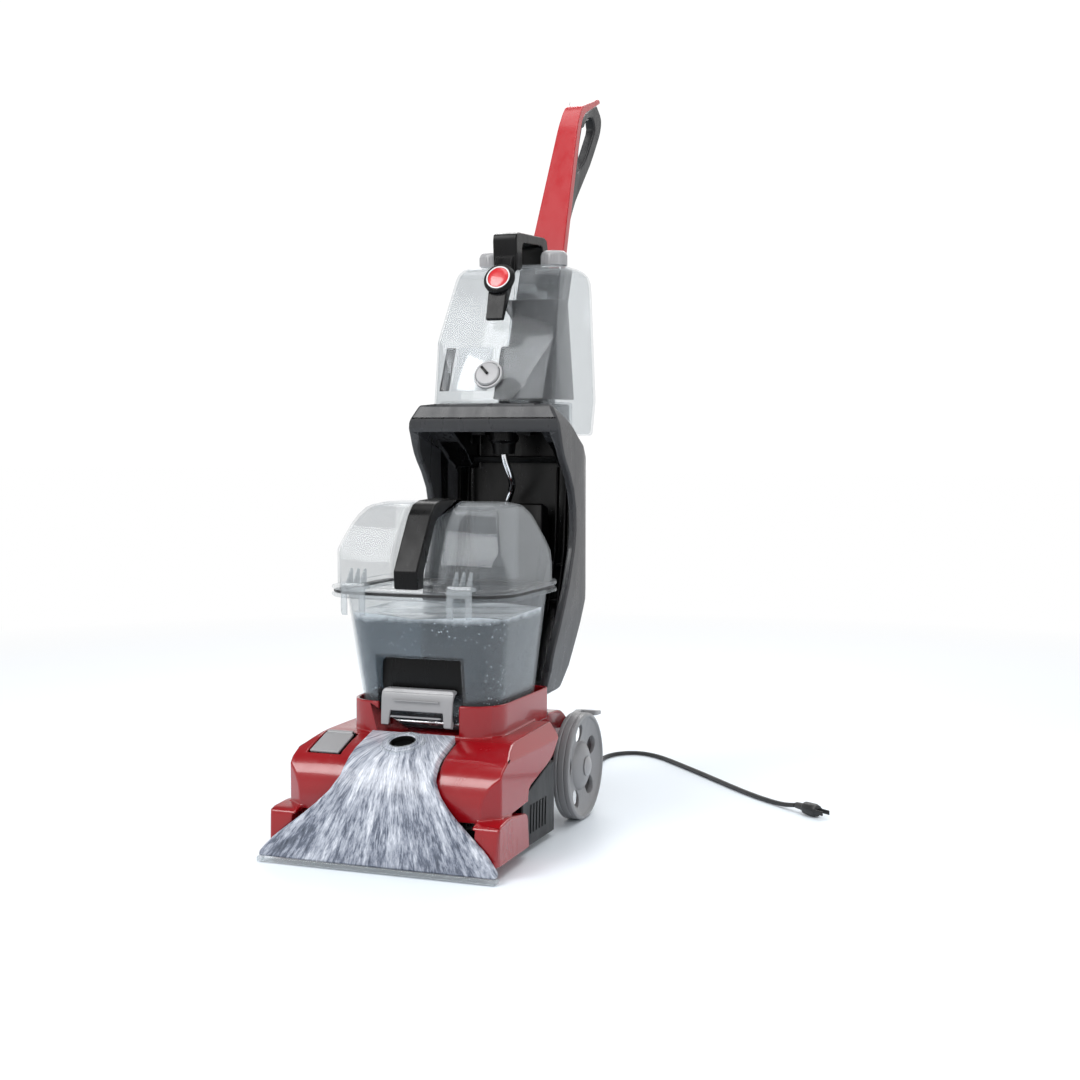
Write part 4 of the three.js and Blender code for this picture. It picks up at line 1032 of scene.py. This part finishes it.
# ------------------------------------------------------------------ clean tank
class WASHER_OT_clean_tank(bpy.types.Operator):
    """Clean-water tank with its caps, carrying handle, badge and dial"""

    bl_idname = "washer.clean_tank"
    bl_label = "Clean-water tank"

    def execute(self, context):
        moulding("clean_tank_shell", "clear", CLEAN, "clear_plastic", 3.5, 4, degrees=50)
        moulding("outlet_valve", "black", CLEAN, "black_plastic", 0.6, 2)
        moulding("clean_tank_handle", "black", CLEAN, "black_plastic", 2.2, 4, degrees=45)
        for name, sign in (("fill", 1), ("vent", -1)):
            self.cap(name, sign)
        self.inner_panels()
        self.badge()
        self.pointer()
        return {"FINISHED"}

    def cap(self, name, sign):
        profile = [(0.4, 0), (0.4, 20), (15.5, 19.6), (19.4, 18.2), (21.6, 15), (21.8, 9), (20.2, 7), (20.2, 0)]
        cap = turned(f"{name}_cap_top", profile, "z", (sign * CAP[0], CAP[1], CAP[2]), 48)
        ribs = []
        for k in range(26):
            angle = math.tau * k / 26
            x, y = sign * CAP[0] + 19.5 * math.cos(angle), CAP[1] + 19.5 * math.sin(angle)
            ribs.append(rod("rib", (x, y, 803), (x, y, 817), 0.7, 8))
        body = "fill_closure" if name == "fill" else "vent_closure"
        dress(joined(f"{name}_cap_top", cap, *ribs), "silver", body, "silver_plastic", f"{name}_cap")

    def inner_panels(self):
        """The dark divider, the pale panel and the dark sight strip seen through the front wall."""
        front = [(-2, 600), (-2, 678), (10, 678), (10, 716), (-16, 748), (79, 748), (89, 600)]
        side = [(150, 600), (211, 748), (250, 748), (250, 600)]
        divider = keep_common(
            prism("inner_divider", front, "front", 120, 260), prism("depth", side, "side", -110, 110),
        )
        dress(soften(divider, 2.0, 3), "smoked", CLEAN, "clear_plastic")
        for name, look, x0, x1 in (("pale_panel", "label", -61, -5), ("sight_strip", "smoked", -80, -65)):
            face = prism(name, [(135, 612), (163, 676), (164.6, 676), (136.6, 612)], "side", x0, x1)
            dress(soften(face, 0.5, 2), look, CLEAN, "clear_plastic")

    def tilted(self, obj, y, z):
        """Turns a piece modelled about the origin's y axis to lie on the tank's sloping front."""
        lean = Matrix.Rotation(-TANK_LEAN, 4, "X")
        obj.data.transform(Matrix.Translation(mm(0, y, z)) @ lean @ Matrix.Translation(-mm(0, 0, 0)))
        return obj

    def badge(self):
        """A plain red disc in a pale ring, with no mark on it."""
        disc = turned(
            "badge_disc", [(-7.6, 0), (-7.6, 16), (-9.2, 16), (-10.2, 13), (-10.6, 7), (-10.7, 0)], "y", (0, 0, 0), 40,
        )
        dress(self.tilted(disc, *BADGE), "badge", CLEAN, "red_shell", "badge_plate")
        ring = turned(
            "badge_ring", [(-7.6, 16.3), (-7.6, 18.2), (-9.6, 18.2), (-9.9, 17.2), (-9.6, 16.3)], "y", (0, 0, 0), 40,
        )
        dress(self.tilted(ring, *BADGE), "pale", CLEAN, "silver_plastic")

    def pointer(self):
        """The dial's knob, its dark pointer and the grey ring that it turns in."""
        knob = turned(
            "mix_knob", [(-0.6, 0), (-0.6, 18), (-5.6, 18), (-7.6, 16.4), (-8, 12), (-8.3, 0)], "y", (0, 0, 0), 48,
        )
        dress(self.tilted(knob, *DIAL), "silver", "dial", "silver_plastic", "mix_dial")
        hand = bar("pointer", -2.0, 2.0, -11.6, -8.0, -2, 13.5)
        soften(hand, 0.5, 2)
        turn = Matrix.Rotation(math.radians(-45), 4, "Y")
        middle = mm(0, 0, 0)
        hand.data.transform(Matrix.Translation(middle) @ turn @ Matrix.Translation(-middle))
        dress(self.tilted(hand, *DIAL), "black", "dial", "silver_plastic")
        ring = turned(
            "dial_ring", [(-0.4, 19.2), (-0.4, 22), (-3.4, 22), (-4.4, 21), (-4.4, 19.2)], "y", (0, 0, 0), 40,
        )
        dress(self.tilted(ring, *DIAL), "silver", CLEAN, "clear_plastic")


STEPS = (
    WASHER_OT_stage, WASHER_OT_cord, WASHER_OT_base, WASHER_OT_wheels, WASHER_OT_nozzle, WASHER_OT_recovery,
    WASHER_OT_column, WASHER_OT_clean_tank,
)


class WASHER_PT_panel(bpy.types.Panel):
    """Lists the building steps"""

    bl_label = "Carpet washer"
    bl_idname = "WASHER_PT_panel"
    bl_space_type = "VIEW_3D"
    bl_region_type = "UI"
    bl_category = "Washer"

    def draw(self, context):
        for key in WasherSettings.__annotations__:
            self.layout.prop(context.scene.washer, key)
        for step in STEPS:
            self.layout.operator(step.bl_idname)


CLASSES = (WasherSettings, *STEPS, WASHER_PT_panel)


def register():
    for cls in CLASSES:
        bpy.utils.register_class(cls)
    bpy.types.Scene.washer = bpy.props.PointerProperty(type=WasherSettings)


def unregister():
    del bpy.types.Scene.washer
    for cls in reversed(CLASSES):
        bpy.utils.unregister_class(cls)


def main():
    register()
    bpy.ops.washer.stage()
    bpy.ops.washer.cord()
    bpy.ops.washer.base()
    bpy.ops.washer.wheels()
    bpy.ops.washer.nozzle()
    bpy.ops.washer.recovery()
    bpy.ops.washer.column()
    bpy.ops.washer.clean_tank()


if __name__ == "__main__":
    main()
